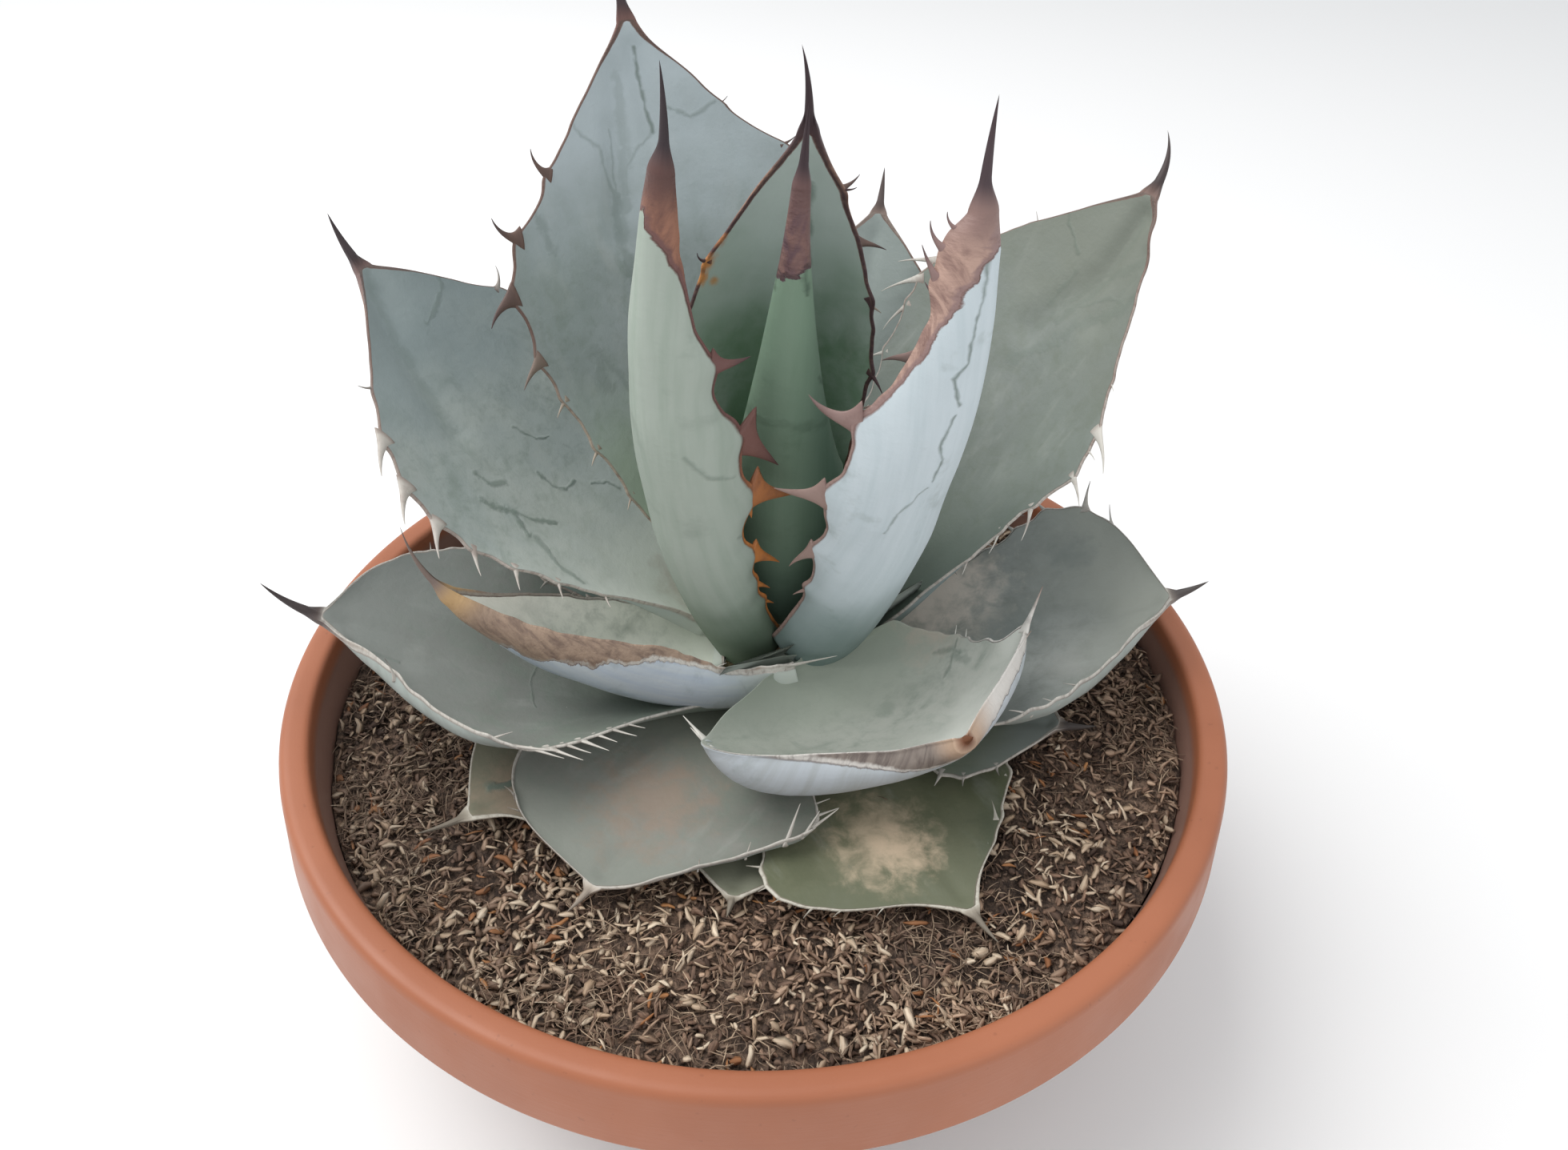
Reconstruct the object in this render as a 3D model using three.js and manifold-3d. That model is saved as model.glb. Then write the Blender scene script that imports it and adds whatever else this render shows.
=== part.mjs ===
// A potted white ice agave titanota: one rosette of thick toothed leaves on a short stem,
// standing in soil in a wide shallow bowl. Millimetres, +Z up, the middle of the bowl's
// underside at the origin, the front of the plant towards -Y.
import * as THREE from "three";
import { mergeVertices } from "three/addons/utils/BufferGeometryUtils.js";
import Module from "manifold-3d";

const wasm = await Module();
wasm.setup();

// Driving dimensions: the bowl
const BOWL = {
  height: 120,
  footRadius: 92,
  bodyRadius: 142, // outside of the body, just under the band
  bandRadius: 151,
  bandHeight: 24,
  ridgeRadius: 148, // top outer corner of the rim
  mouthRadius: 140, // inner edge of the rim
  rimDrop: 1, // the rim's top falls this far towards the mouth
  edgeRound: 2,
  wall: 4.5,
  floor: 5,
  segments: 40,
};
const BODY_LEVELS = [28, 60]; // heights at which the body's curve has a corner
const DRAIN = { count: 6, ringRadius: 55, radius: 6, segments: 12 };

// Driving dimensions: the soil and the stem
const SOIL = { level: 101.5, tilt: 2.5, crumb: 0.7, rings: 5 };
const CRUMB_WAVES = { across: 20, along: 23, sway: 1.3, swayLength: 57, slant: 126 };
const DISH = { radius: 46, bottom: 94 }; // the hollow in the soil under the leaves' feet
const STEM = {
  radius: 27,
  bottom: 48,
  shoulder: 110,
  top: 134,
  neck: [0.82, 0.45], // shares of the radius, where it has risen by these shares:
  rise: [0.45, 0.85],
  segments: 16,
};
const GAP = 0.3; // clearance between neighbouring solids
const SLIVER = { thinnest: 0.003, shortest: 0.012, passes: 400 }; // see withoutSlivers

// Driving dimensions: what all leaves share
const ROSETTE = { x: 10, y: 6 }; // where the plant's axis stands in the bowl
const BLADE = { edge: 1.7, horn: 4 }; // horn is the width of the margin band
const SPINE = { radius: 3.1, shrink: [0.3, 0.65] };
const TEETH = { from: 0.17, to: 0.85, bay: 1, tip: 0.7 }; // bay: depth between two teeth
const SHORTEST_TOOTH = { atEnds: 0.6, byChance: 0.55 }; // shares of the leaf's bite
const BUD_STATIONS = [0, 0.12, 0.25, 0.4, 0.55, 0.7, 0.85, 1];

// Colours
const LEAF_COLOUR = 0x93a69f;
const YOUNG_LEAF_COLOUR = 0x648268;
const LOW_LEAF_COLOUR = 0x69735a;
const BOWL_COLOUR = 0xb26c4e;
const SOIL_COLOUR = 0x5a4a40;
const STEM_COLOUR = 0x8a7a60;

/*
 * What a leaf has where its own line below says nothing else. turn is the direction that
 * the tip points in, in degrees from +X towards +Y; reach and height place the tip, from
 * the plant's axis and from the bowl's underside. out, up and footTurn place the foot.
 * lift is the angle at which the leaf leaves its foot, and pull how far it keeps that
 * way. cup is the angle that each half of the section bends through at foot, middle and
 * tip, peak the place of the widest point, base the share of the width at the foot, skew
 * the share by which the left half is the wider one, and taper the two powers that shape
 * the narrowing part. roll turns the section about the midrib, at foot and tip. thick is
 * the thickness of the midrib at foot, middle and tip, and swell how far out towards the
 * margins it lasts. spine is the length of the thorn at the tip and curl how far it bends
 * up. teeth is the number on each margin, bite their length, and hook the angle by which
 * the lowest and the highest tooth lean to the tip. columns are the places across half
 * the blade where its section has a corner. rolled is said of the bud, a young leaf whose
 * margins meet, so that it is solid.
 */
const USUAL = {
  out: 14, up: 110, lift: 12, pull: 0.5, width: 90, cup: [40, 18, 12], peak: 0.66,
  base: 0.5, skew: 0, roll: [0, 0], taper: [1.7, 1.1], thick: [10, 5, 2.5],
  swell: 2.2, spine: 16, curl: 0.2, teeth: 7, bite: 8, hook: [-45, 30], columns: [0],
  colour: LEAF_COLOUR,
};

// The leaves, from the heart outwards
const LEAVES = [
  { name: "leaf_01_bud", turn: 262, reach: 12, height: 276, out: 5, footTurn: 180, up: 130,
    lift: 86, width: 84, cup: [170, 170, 160], peak: 0.36, base: 0.8, taper: [0.9, 1.1],
    thick: [4, 3, 2], spine: 20, curl: 0, teeth: 0, columns: [0, 0.3, 0.6], rolled: true,
    colour: YOUNG_LEAF_COLOUR },
  { name: "leaf_02_centre_back", turn: 88, reach: 10, height: 281, out: 8, up: 128,
    lift: 58, width: 62, cup: [65, 50, 40], base: 0.55, skew: 0.26,
    thick: [8, 4, 2.5], spine: 22, curl: -0.2, teeth: 6, bite: 7, columns: [0, 0.45],
    colour: YOUNG_LEAF_COLOUR },
  { name: "leaf_03_upright_left", turn: 223, reach: 44, height: 285, out: 15,
    footTurn: 200, up: 128, lift: 58, width: 46, cup: [80, 85, 75], peak: 0.5, base: 0.7,
    skew: -0.2, spine: 28, curl: -0.12, bite: 11, columns: [0, 0.45] },
  { name: "leaf_04_upright_right", turn: 337, reach: 45, height: 274, out: 12,
    footTurn: 345, up: 128, lift: 58, width: 54, cup: [80, 85, 75], peak: 0.5, base: 0.7,
    skew: 0.1, spine: 26, curl: -0.05, bite: 12, columns: [0, 0.45] },
  { name: "leaf_05_tall_back", turn: 125, reach: 93, height: 291, out: 17, up: 122,
    lift: 62, width: 108, cup: [45, 20, 14], spine: 22, bite: 10, teeth: 7 },
  { name: "leaf_06_right", turn: 31, reach: 122, height: 250, out: 20, up: 120, lift: 42,
    width: 93, cup: [40, 18, 10], skew: 0.32, spine: 17, bite: 11 },
  { name: "leaf_07_left", turn: 165, reach: 132, height: 232, out: 20, up: 119, lift: 33,
    width: 108, cup: [40, 14, 10], skew: -0.08, spine: 18, bite: 9 },
  { name: "leaf_08_back_right", turn: 77, reach: 121, height: 221, out: 22, up: 118,
    lift: 28, width: 84, cup: [35, 16, 14], peak: 0.62, base: 0.4 },
  { name: "leaf_09_boat_left", turn: 200, reach: 103, height: 166, out: 9,
    footTurn: 255, up: 120, lift: -10, width: 70, cup: [75, 75, 55], peak: 0.5,
    base: 0.8, skew: 0.1, roll: [8, 5], spine: 26, curl: 0, columns: [0, 0.45] },
  { name: "leaf_10_front_right", turn: 303, reach: 84, height: 152, out: 14, up: 131,
    lift: -28, pull: 0.6, width: 120, cup: [52, 44, 36], peak: 0.6, base: 0.65, skew: 0.03,
    roll: [7, 2], thick: [14, 12, 9], swell: 5, spine: 6, columns: [0, 0.5] },
  { name: "leaf_11_low_left", turn: 190, reach: 142, height: 148, out: 23, up: 112,
    lift: 1, width: 102, cup: [40, 30, 20], peak: 0.62, skew: 0.1, thick: [7, 4, 2.5],
    spine: 20, bite: 10 },
  { name: "leaf_12_low_right", turn: 0, reach: 120, height: 145, out: 23, up: 112,
    width: 100, cup: [35, 20, 14], peak: 0.68, skew: 0.2, thick: [7, 4, 2.5], spine: 13,
    bite: 10 },
  { name: "leaf_13_back", turn: 106, reach: 125, height: 186, out: 23, up: 112, lift: 26,
    width: 92, base: 0.4, thick: [8, 4, 2.5], teeth: 5 },
  { name: "leaf_14_back_left", turn: 148, reach: 118, height: 164, out: 23, up: 111,
    lift: 22, width: 84, base: 0.4, thick: [8, 4, 2.5], teeth: 5 },
  { name: "leaf_15_back_right", turn: 56, reach: 112, height: 158, out: 23, up: 111,
    lift: 22, width: 76, base: 0.4, thick: [8, 4, 2.5], teeth: 5 },
  { name: "leaf_16_low_front", turn: 240, reach: 105, height: 111, out: 24, up: 110,
    lift: 3, width: 104, cup: [30, 10, 10], skew: -0.07, taper: [2, 1],
    thick: [5, 3, 2], spine: 9, bite: 7 },
  { name: "leaf_17_lowest_left", turn: 215, reach: 113, height: 107, out: 24, up: 105,
    lift: 3, width: 68, cup: [20, 6, 6], base: 0.4, skew: -0.1, thick: [4, 2.5, 2],
    spine: 13, bite: 7, teeth: 6, colour: LOW_LEAF_COLOUR },
  { name: "leaf_18_lowest_front", turn: 299, reach: 106, height: 108, out: 24, up: 107,
    lift: 3, width: 84, cup: [20, 6, 6], base: 0.4, skew: -0.08, thick: [4, 2.5, 2],
    spine: 12, bite: 5, colour: LOW_LEAF_COLOUR },
  { name: "leaf_19_lowest_right", turn: 338, reach: 90, height: 120, out: 24, up: 108,
    lift: 6, width: 60, cup: [20, 8, 8], base: 0.4, thick: [4, 2.5, 2], spine: 12,
    bite: 7, teeth: 6 },
  { name: "leaf_20_lowest_middle", turn: 261, reach: 91, height: 106.5, out: 24, up: 105,
    lift: 1, width: 52, cup: [20, 6, 6], base: 0.4, thick: [3, 1.5, 1], spine: 8, bite: 5,
    teeth: 5, colour: LOW_LEAF_COLOUR },
  { name: "leaf_21_lowest_back", turn: 74, reach: 118, height: 134, out: 24, up: 108,
    lift: 10, width: 78, cup: [25, 12, 10], base: 0.4, thick: [5, 3, 2], teeth: 5 },
  { name: "leaf_22_lowest_back_left", turn: 124, reach: 122, height: 118, out: 24,
    up: 106, lift: 3, width: 80, cup: [25, 12, 10], base: 0.4, thick: [5, 3, 2], teeth: 5 },
  { name: "leaf_23_lowest_back_right", turn: 24, reach: 104, height: 114, out: 24,
    up: 107, lift: 1, width: 62, cup: [20, 8, 8], base: 0.4, thick: [4, 2.5, 2], bite: 6,
    teeth: 5 },
  { name: "leaf_24_lowest_far_left", turn: 166, reach: 112, height: 113, out: 24, up: 106,
    lift: 1, width: 66, cup: [20, 8, 8], base: 0.4, thick: [4, 2.5, 2], bite: 6, teeth: 5 },
];

// Turns a closed geometry into a solid that can be joined and cut.
function solidFrom(geometry) {
  const bare = geometry.clone();
  bare.deleteAttribute("normal");
  bare.deleteAttribute("uv");
  const merged = mergeVertices(bare, 1e-4);
  return new wasm.Manifold(
    new wasm.Mesh({
      numProp: 3,
      vertProperties: new Float32Array(merged.attributes.position.array),
      triVerts: new Uint32Array(merged.index.array),
    }),
  );
}

function geometryFrom(solid) {
  const mesh = solid.getMesh();
  const geometry = new THREE.BufferGeometry();
  geometry.setAttribute("position", new THREE.BufferAttribute(mesh.vertProperties, 3));
  geometry.setIndex(new THREE.BufferAttribute(mesh.triVerts, 1));
  geometry.computeVertexNormals();
  return geometry;
}

// The largest body of a solid, without the scraps that a cut leaves beside it
function mainBody(solid) {
  const bodies = solid.decompose();
  return bodies.reduce((a, b) => (b.volume() > a.volume() ? b : a));
}

/*
 * A cut leaves triangles too thin to keep. The shortest side of such a triangle is closed
 * up where it is short, and otherwise its longest side is turned to the other diagonal of
 * the two triangles that share it. Where that makes a triangle back to back with its twin,
 * a fin without thickness, both go. A change that would tear the skin is left out.
 */
function withoutSlivers(solid) {
  const mesh = solid.getMesh();
  const points = [];
  for (let i = 0; i < mesh.numVert; i++)
    points.push(new THREE.Vector3().fromArray(mesh.vertProperties, 3 * i));
  let faces = [];
  for (let i = 0; i < mesh.numTri; i++)
    faces.push([...mesh.triVerts.subarray(3 * i, 3 * i + 3)]);
  const left = new Set();

  // The sides of a face as [length, from, to, opposite corner], the shortest first
  const sidesOf = ([a, b, c]) => {
    const side = (from, to, other) => [points[from].distanceTo(points[to]), from, to, other];
    return [side(a, b, c), side(b, c, a), side(c, a, b)].sort((p, q) => p[0] - q[0]);
  };
  const thicknessOf = ([a, b, c], longest) => {
    const first = points[b].clone().sub(points[a]);
    return first.cross(points[c].clone().sub(points[a])).length() / longest;
  };
  const neighboursOf = (corner) =>
    new Set(faces.filter((face) => face.includes(corner)).flat());
  const shared = (a, b) =>
    [...neighboursOf(a)].filter((p) => p !== a && p !== b && neighboursOf(b).has(p));

  for (let pass = 0; pass < SLIVER.passes; pass++) {
    const thin = faces.find((face) => {
      const sides = sidesOf(face);
      return !left.has(face) && thicknessOf(face, sides[2][0]) < SLIVER.thinnest;
    });
    if (!thin) break;
    left.add(thin);
    const [[length, keep, gone], , [, from, to, corner]] = sidesOf(thin);
    if (length < SLIVER.shortest && shared(keep, gone).length === 2) {
      faces = faces
        .map((face) => (face.includes(gone) ? face.map((p) => (p === gone ? keep : p)) : face))
        .filter(([a, b, c]) => a !== b && b !== c && c !== a);
      continue;
    }
    const beyond = faces.find((f) => f !== thin && f.includes(from) && f.includes(to));
    const far = beyond.find((p) => p !== from && p !== to);
    const turned = [[from, far, corner], [far, to, corner]];
    const twins = turned.map((made) => faces.find((face) => made.every((p) => face.includes(p))));
    if (neighboursOf(corner).has(far) && !twins.some(Boolean)) continue;
    faces = faces.filter((face) => face !== thin && face !== beyond && !twins.includes(face));
    faces.push(...turned.filter((made, i) => !twins[i]));
  }
  const geometry = new THREE.BufferGeometry();
  const flat = new Float32Array(points.flatMap((p) => [p.x, p.y, p.z]));
  geometry.setAttribute("position", new THREE.BufferAttribute(flat, 3));
  geometry.setIndex(faces.flat());
  return solidFrom(geometry);
}

/*
 * A closed skin over rings of points. The first half of each ring runs over the upper
 * face and the second half back under the lower one, and the quads between two rings are
 * split alike on both faces. The first ring is closed by a fan round its middle, and the
 * last ring runs to one point.
 */
function skinOver(rings, point) {
  const count = rings[0].length;
  const middle = rings[0].reduce((sum, p) => sum.add(p), new THREE.Vector3());
  const points = [...rings.flat(), middle.divideScalar(count), point];
  const start = points.length - 2;
  const end = points.length - 1;
  const faces = [];
  for (let i = 0; i < rings.length; i++) {
    for (let j = 0; j < count; j++) {
      const here = i * count + j;
      const beside = i * count + ((j + 1) % count);
      if (i === 0) faces.push(start, here, beside);
      if (i === rings.length - 1) faces.push(here, end, beside);
      else if (j < count / 2)
        faces.push(here, beside + count, beside, here, here + count, beside + count);
      else faces.push(here, here + count, beside, beside, here + count, beside + count);
    }
  }
  const geometry = new THREE.BufferGeometry();
  const flat = new Float32Array(points.flatMap((p) => [p.x, p.y, p.z]));
  geometry.setAttribute("position", new THREE.BufferAttribute(flat, 3));
  geometry.setIndex(faces);
  return solidFrom(geometry);
}

const radians = THREE.MathUtils.degToRad;
const smooth = (t) => THREE.MathUtils.smoothstep(t, 0, 1);
const mix = THREE.MathUtils.lerp;
const clamp01 = (t) => THREE.MathUtils.clamp(t, 0, 1);
const along = (turn, rise) =>
  new THREE.Vector3(
    Math.cos(turn) * Math.cos(rise),
    Math.sin(turn) * Math.cos(rise),
    Math.sin(rise),
  );

// The midrib of a leaf, from its foot to the end of its blade
function midribOf(leaf) {
  const turn = radians(leaf.turn);
  const footTurn = radians(leaf.footTurn ?? leaf.turn);
  const axis = new THREE.Vector3(ROSETTE.x, ROSETTE.y, 0);
  const foot = along(footTurn, 0).multiplyScalar(leaf.out).add(axis).setZ(leaf.up);
  const tip = along(turn, 0).multiplyScalar(leaf.reach).add(axis).setZ(leaf.height);
  const pulled = along(turn, radians(leaf.lift))
    .multiplyScalar(leaf.pull * foot.distanceTo(tip))
    .add(foot);
  return new THREE.QuadraticBezierCurve3(foot, pulled, tip);
}

// Half the blade's width at the share s of its length: it swells from the foot to the
// widest point and narrows from there to the foot of the spine.
function halfWidth(leaf, s) {
  const rise = mix(leaf.base, 1, smooth(s / leaf.peak));
  const q = clamp01((s - leaf.peak) / (1 - leaf.peak));
  const fall = (1 - q ** leaf.taper[0]) ** leaf.taper[1];
  return (leaf.width / 2) * (s < leaf.peak ? rise : fall) + SPINE.radius * s ** 6;
}

function threeWay([foot, middle, tip], s) {
  return s < 0.5 ? mix(foot, middle, smooth(2 * s)) : mix(middle, tip, smooth(2 * s - 1));
}

// Point, tangent, side and outward face direction of the midrib at the share s
function frameAt(leaf, rib, s) {
  const turn = radians(leaf.turn);
  const point = rib.getPoint(s);
  const tangent = rib.getTangent(s);
  const flat = new THREE.Vector3(-Math.sin(turn), Math.cos(turn), 0);
  const side = flat.addScaledVector(tangent, -flat.dot(tangent)).normalize();
  const face = new THREE.Vector3().crossVectors(tangent, side);
  side.applyAxisAngle(tangent, radians(mix(leaf.roll[0], leaf.roll[1], s)));
  face.applyAxisAngle(tangent, radians(mix(leaf.roll[0], leaf.roll[1], s)));
  return { point, tangent, side, face };
}

/*
 * A place on the blade's upper face: s along the midrib, u from -1 at the right margin to
 * 1 at the left one. Each half of the section is an arc. out points away from the midrib
 * along the face, and normal away from the face.
 */
function onBlade(leaf, rib, s, u, grow = 0) {
  const { point, tangent, side, face } = frameAt(leaf, rib, s);
  const bend = radians(Math.max(threeWay(leaf.cup, s), 0.5));
  const half = (halfWidth(leaf, s) + grow) * (1 + leaf.skew * Math.sign(u));
  const radius = half / bend;
  const angle = u * bend;
  point.addScaledVector(side, radius * Math.sin(angle));
  point.addScaledVector(face, radius * (1 - Math.cos(angle)));
  const normal = face.clone().multiplyScalar(Math.cos(angle));
  normal.addScaledVector(side, -Math.sin(angle));
  const out = side.clone().multiplyScalar(Math.cos(angle) * Math.sign(u));
  out.addScaledVector(face, Math.sin(angle) * Math.sign(u));
  return { point, tangent, normal, out };
}

// The thickness of the blade: full at the midrib and thin at the margins
function thicknessAt(leaf, s, u) {
  const t = leaf.thick;
  const rib = s < 0.5 ? mix(t[0], t[1], 2 * s) : mix(t[1], t[2], 2 * s - 1);
  return rib * (1 - Math.abs(u) ** leaf.swell) + BLADE.edge;
}

// A number from 0 to 1 that is always the same for the same two numbers
function scatter(a, b) {
  const wave = Math.sin(a * 12.9898 + b * 78.233) * 43758.5453;
  return wave - Math.floor(wave);
}

/*
 * The places along the blade where it has a section. Between the teeth's first and last
 * place every other section carries a tooth on each margin, and the ones between them a
 * shallow bay. bite is how far the right and the left margin stand out there, and lean
 * the angle by which the teeth point to the tip.
 */
function stationsOf(leaf) {
  const plain = (s) => ({ s, bite: [0, 0], lean: 0 });
  if (!leaf.teeth) return BUD_STATIONS.map(plain);
  const stations = [plain(0), plain(TEETH.from / 2)];
  for (let k = 0; k <= 2 * leaf.teeth; k++) {
    const share = k / (2 * leaf.teeth);
    const size = leaf.bite * mix(SHORTEST_TOOTH.atEnds, 1, Math.sin(Math.PI * share));
    const grown = (u) => size * mix(SHORTEST_TOOTH.byChance, 1, scatter(leaf.turn + k, u));
    stations.push({
      s: mix(TEETH.from, TEETH.to, share),
      bite: k % 2 ? [grown(-1), grown(1)] : [-TEETH.bay, -TEETH.bay],
      lean: k % 2 ? radians(mix(leaf.hook[0], leaf.hook[1], share)) : 0,
    });
  }
  return [...stations, plain(mix(TEETH.to, 1, 0.5)), plain(1)];
}

// One closed section of the blade: over the upper face and back under the lower one, or
// round the outside alone where the leaf is rolled up
function bladeRing(leaf, rib, { s, bite, lean }, grow) {
  const horn = Math.max(1 - BLADE.horn / halfWidth(leaf, s), 0.6);
  const half = [...leaf.columns, horn, 1];
  const across = [...half.slice(1).reverse().map((u) => -u), ...half];
  const upper = [];
  const lower = [];
  for (const u of across) {
    const { point, tangent, normal, out } = onBlade(leaf, rib, s, u, grow);
    const reach = Math.abs(u) === 1 ? bite[u > 0 ? 1 : 0] : 0;
    point.addScaledVector(out, reach * Math.cos(lean));
    point.addScaledVector(tangent, reach * Math.sin(lean));
    const thin = reach > 0 ? (BLADE.edge - TEETH.tip) / 2 : 0;
    const deep = thicknessAt(leaf, s, u) - thin + grow;
    upper.push(point.clone().addScaledVector(normal, grow - thin));
    lower.unshift(point.addScaledVector(normal, -deep));
  }
  return leaf.rolled ? lower : [...upper, ...lower];
}

// The spine goes on from the blade's last section, which shrinks along a bent line.
function spineRings(leaf, rib, last) {
  const { point, tangent, face } = frameAt(leaf, rib, 1);
  const at = (t) =>
    point
      .clone()
      .addScaledVector(tangent, leaf.spine * t)
      .addScaledVector(face, leaf.spine * leaf.curl * t * t - 0.5 * leaf.thick[2] * t);
  const rings = SPINE.shrink.map((t) =>
    last.map((p) => p.clone().sub(point).multiplyScalar(1 - t).add(at(t))),
  );
  return { rings, point: at(1) };
}

// A whole leaf: blade, spine and teeth in one solid, thicker all round by grow
function leafSolid(leaf, grow = 0) {
  const rib = midribOf(leaf);
  const rings = stationsOf(leaf).map((station) => bladeRing(leaf, rib, station, grow));
  const spine = spineRings(leaf, rib, rings.at(-1));
  return skinOver([...rings, ...spine.rings], spine.point);
}

// A solid of revolution about +Z from its half profile, given as [radius, height] pairs
function turned(profile, segments) {
  const points = profile.map(([r, z]) => new THREE.Vector2(r, z));
  const geometry = new THREE.LatheGeometry(points, segments);
  geometry.rotateX(Math.PI / 2);
  return solidFrom(geometry);
}

// The outside of the bowl's body at a height: a steep curve from the foot to the band
function bodyRadiusAt(z) {
  const t = clamp01(z / (BOWL.height - BOWL.bandHeight));
  return mix(BOWL.footRadius, BOWL.bodyRadius, Math.sin((t * Math.PI) / 2) ** 0.9);
}

function innerRadiusAt(z) {
  const wall = bodyRadiusAt(z) - BOWL.wall;
  return Math.min(wall, BOWL.mouthRadius - 1);
}

function bowlSolid() {
  const bandBottom = BOWL.height - BOWL.bandHeight;
  const heights = [0, ...BODY_LEVELS];
  const outside = [...heights, bandBottom].map((z) => [bodyRadiusAt(z), z]);
  const inside = [BOWL.floor, ...heights.slice(1), bandBottom].map((z) => [
    innerRadiusAt(z),
    z,
  ]);
  const round = BOWL.edgeRound;
  const mouthTop = BOWL.height - BOWL.rimDrop;
  const profile = [
    [0, 0],
    ...outside,
    [BOWL.bandRadius, bandBottom],
    [BOWL.ridgeRadius + round / 2, BOWL.height - round],
    [BOWL.ridgeRadius - round, BOWL.height],
    [BOWL.mouthRadius + round / 2, mouthTop],
    [BOWL.mouthRadius, mouthTop - round / 2],
    ...inside.reverse(),
    [0, BOWL.floor],
  ];
  const holes = [];
  for (let k = 0; k < DRAIN.count; k++) {
    const turn = ((k + 0.5) / DRAIN.count) * 2 * Math.PI;
    const pin = new THREE.CylinderGeometry(
      DRAIN.radius, DRAIN.radius, 3 * BOWL.floor, DRAIN.segments,
    );
    pin.rotateX(Math.PI / 2);
    pin.translate(DRAIN.ringRadius * Math.cos(turn), DRAIN.ringRadius * Math.sin(turn), 0);
    holes.push(solidFrom(pin));
  }
  return turned(profile, BOWL.segments).subtract(wasm.Manifold.union(holes));
}

// The height of the soil: low on the left, with crumbs as a sum of crossed waves
function soilHeight(x, y) {
  const slope = (SOIL.tilt * x) / BOWL.mouthRadius;
  const wave = (distance, length) => (2 * Math.PI * distance) / length;
  const sway = CRUMB_WAVES.sway * Math.sin(wave(y, CRUMB_WAVES.swayLength));
  const across = Math.sin(wave(x, CRUMB_WAVES.across) + sway);
  const crumbs = across * Math.sin(wave(y, CRUMB_WAVES.along) + wave(x, CRUMB_WAVES.slant));
  return SOIL.level + slope + SOIL.crumb * crumbs;
}

// The soil fills the bowl with a crumbled top. It has a plain hole for the stem, and a
// shallow round dish where the feet of the lowest leaves lie.
function soilSolid() {
  const mostRadius = innerRadiusAt(SOIL.level + SOIL.tilt + SOIL.crumb) - GAP;
  const lowest = BOWL.floor + GAP;
  const sides = [lowest, ...BODY_LEVELS].map((z) => [innerRadiusAt(z) - GAP, z]);
  const top = [];
  for (let i = 0; i < SOIL.rings; i++)
    top.push([mostRadius * (1 - i / SOIL.rings), SOIL.level]);
  const points = [[0, lowest], ...sides, ...top, [0, SOIL.level]];
  const geometry = new THREE.LatheGeometry(
    points.map(([r, z]) => new THREE.Vector2(r, z)),
    BOWL.segments,
  );
  geometry.rotateX(Math.PI / 2);
  const place = geometry.attributes.position;
  for (let i = 0; i < place.count; i++) {
    if (place.getZ(i) < SOIL.level - 1) continue;
    place.setZ(i, soilHeight(place.getX(i), place.getY(i)));
  }
  const hollows = [
    [STEM.radius + GAP, STEM.bottom - GAP, STEM.segments],
    [DISH.radius, DISH.bottom, 2 * STEM.segments],
  ].map(([radius, bottom, segments]) => {
    const hollow = new THREE.CylinderGeometry(radius, radius, BOWL.height, segments);
    hollow.rotateX(Math.PI / 2);
    hollow.translate(ROSETTE.x, ROSETTE.y, bottom + BOWL.height / 2);
    return solidFrom(hollow);
  });
  return withoutSlivers(solidFrom(geometry).subtract(wasm.Manifold.union(hollows)));
}

// The short stem that carries the leaves and stands in the soil
function stemSolid(grow = 0) {
  const radius = STEM.radius + grow;
  const geometry = new THREE.LatheGeometry(
    [
      [0, STEM.bottom - grow],
      [radius, STEM.bottom - grow],
      [radius, STEM.shoulder],
      [radius * STEM.neck[0], mix(STEM.shoulder, STEM.top, STEM.rise[0])],
      [radius * STEM.neck[1], mix(STEM.shoulder, STEM.top, STEM.rise[1]) + grow],
      [0, STEM.top + grow],
    ].map(([r, z]) => new THREE.Vector2(r, z)),
    STEM.segments,
  );
  geometry.rotateX(Math.PI / 2);
  geometry.translate(ROSETTE.x, ROSETTE.y, 0);
  return solidFrom(geometry);
}

function mesh(name, solid, color, roughness) {
  const material = new THREE.MeshStandardMaterial({ color, roughness, metalness: 0 });
  const made = new THREE.Mesh(geometryFrom(solid), material);
  made.name = name;
  return made;
}

// Each leaf is cut clear of the stem and of the leaves that stand inside it.
function rosette() {
  const group = new THREE.Group();
  let inner = stemSolid(GAP);
  for (const own of LEAVES) {
    const leaf = { ...USUAL, ...own };
    const solid = withoutSlivers(mainBody(leafSolid(leaf).subtract(inner)));
    group.add(mesh(leaf.name, solid, leaf.colour, 0.55));
    inner = inner.add(leafSolid(leaf, GAP));
  }
  return group;
}

const plant = new THREE.Group();
plant.add(mesh("bowl", bowlSolid(), BOWL_COLOUR, 0.6));
plant.add(mesh("soil", soilSolid(), SOIL_COLOUR, 0.95));
plant.add(mesh("stem", stemSolid(), STEM_COLOUR, 0.8));
plant.add(rosette());

export default plant;
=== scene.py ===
"""A potted white ice agave titanota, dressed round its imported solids.

Every size is written in millimetres and put into the meshes in metres, in the frame of the
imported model: +Z up, the middle of the bowl's underside at the origin, the front of the plant
towards -Y. Each class makes one group of pieces: the leaves, the soil with its husks, the
stem and the bowl. The finishes are built from nodes alone.
"""

from __future__ import annotations

import logging
import math
from dataclasses import dataclass, field, replace
from enum import Enum

import bpy
import numpy as np
from mathutils import Matrix, Vector
from numpy.typing import NDArray

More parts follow.
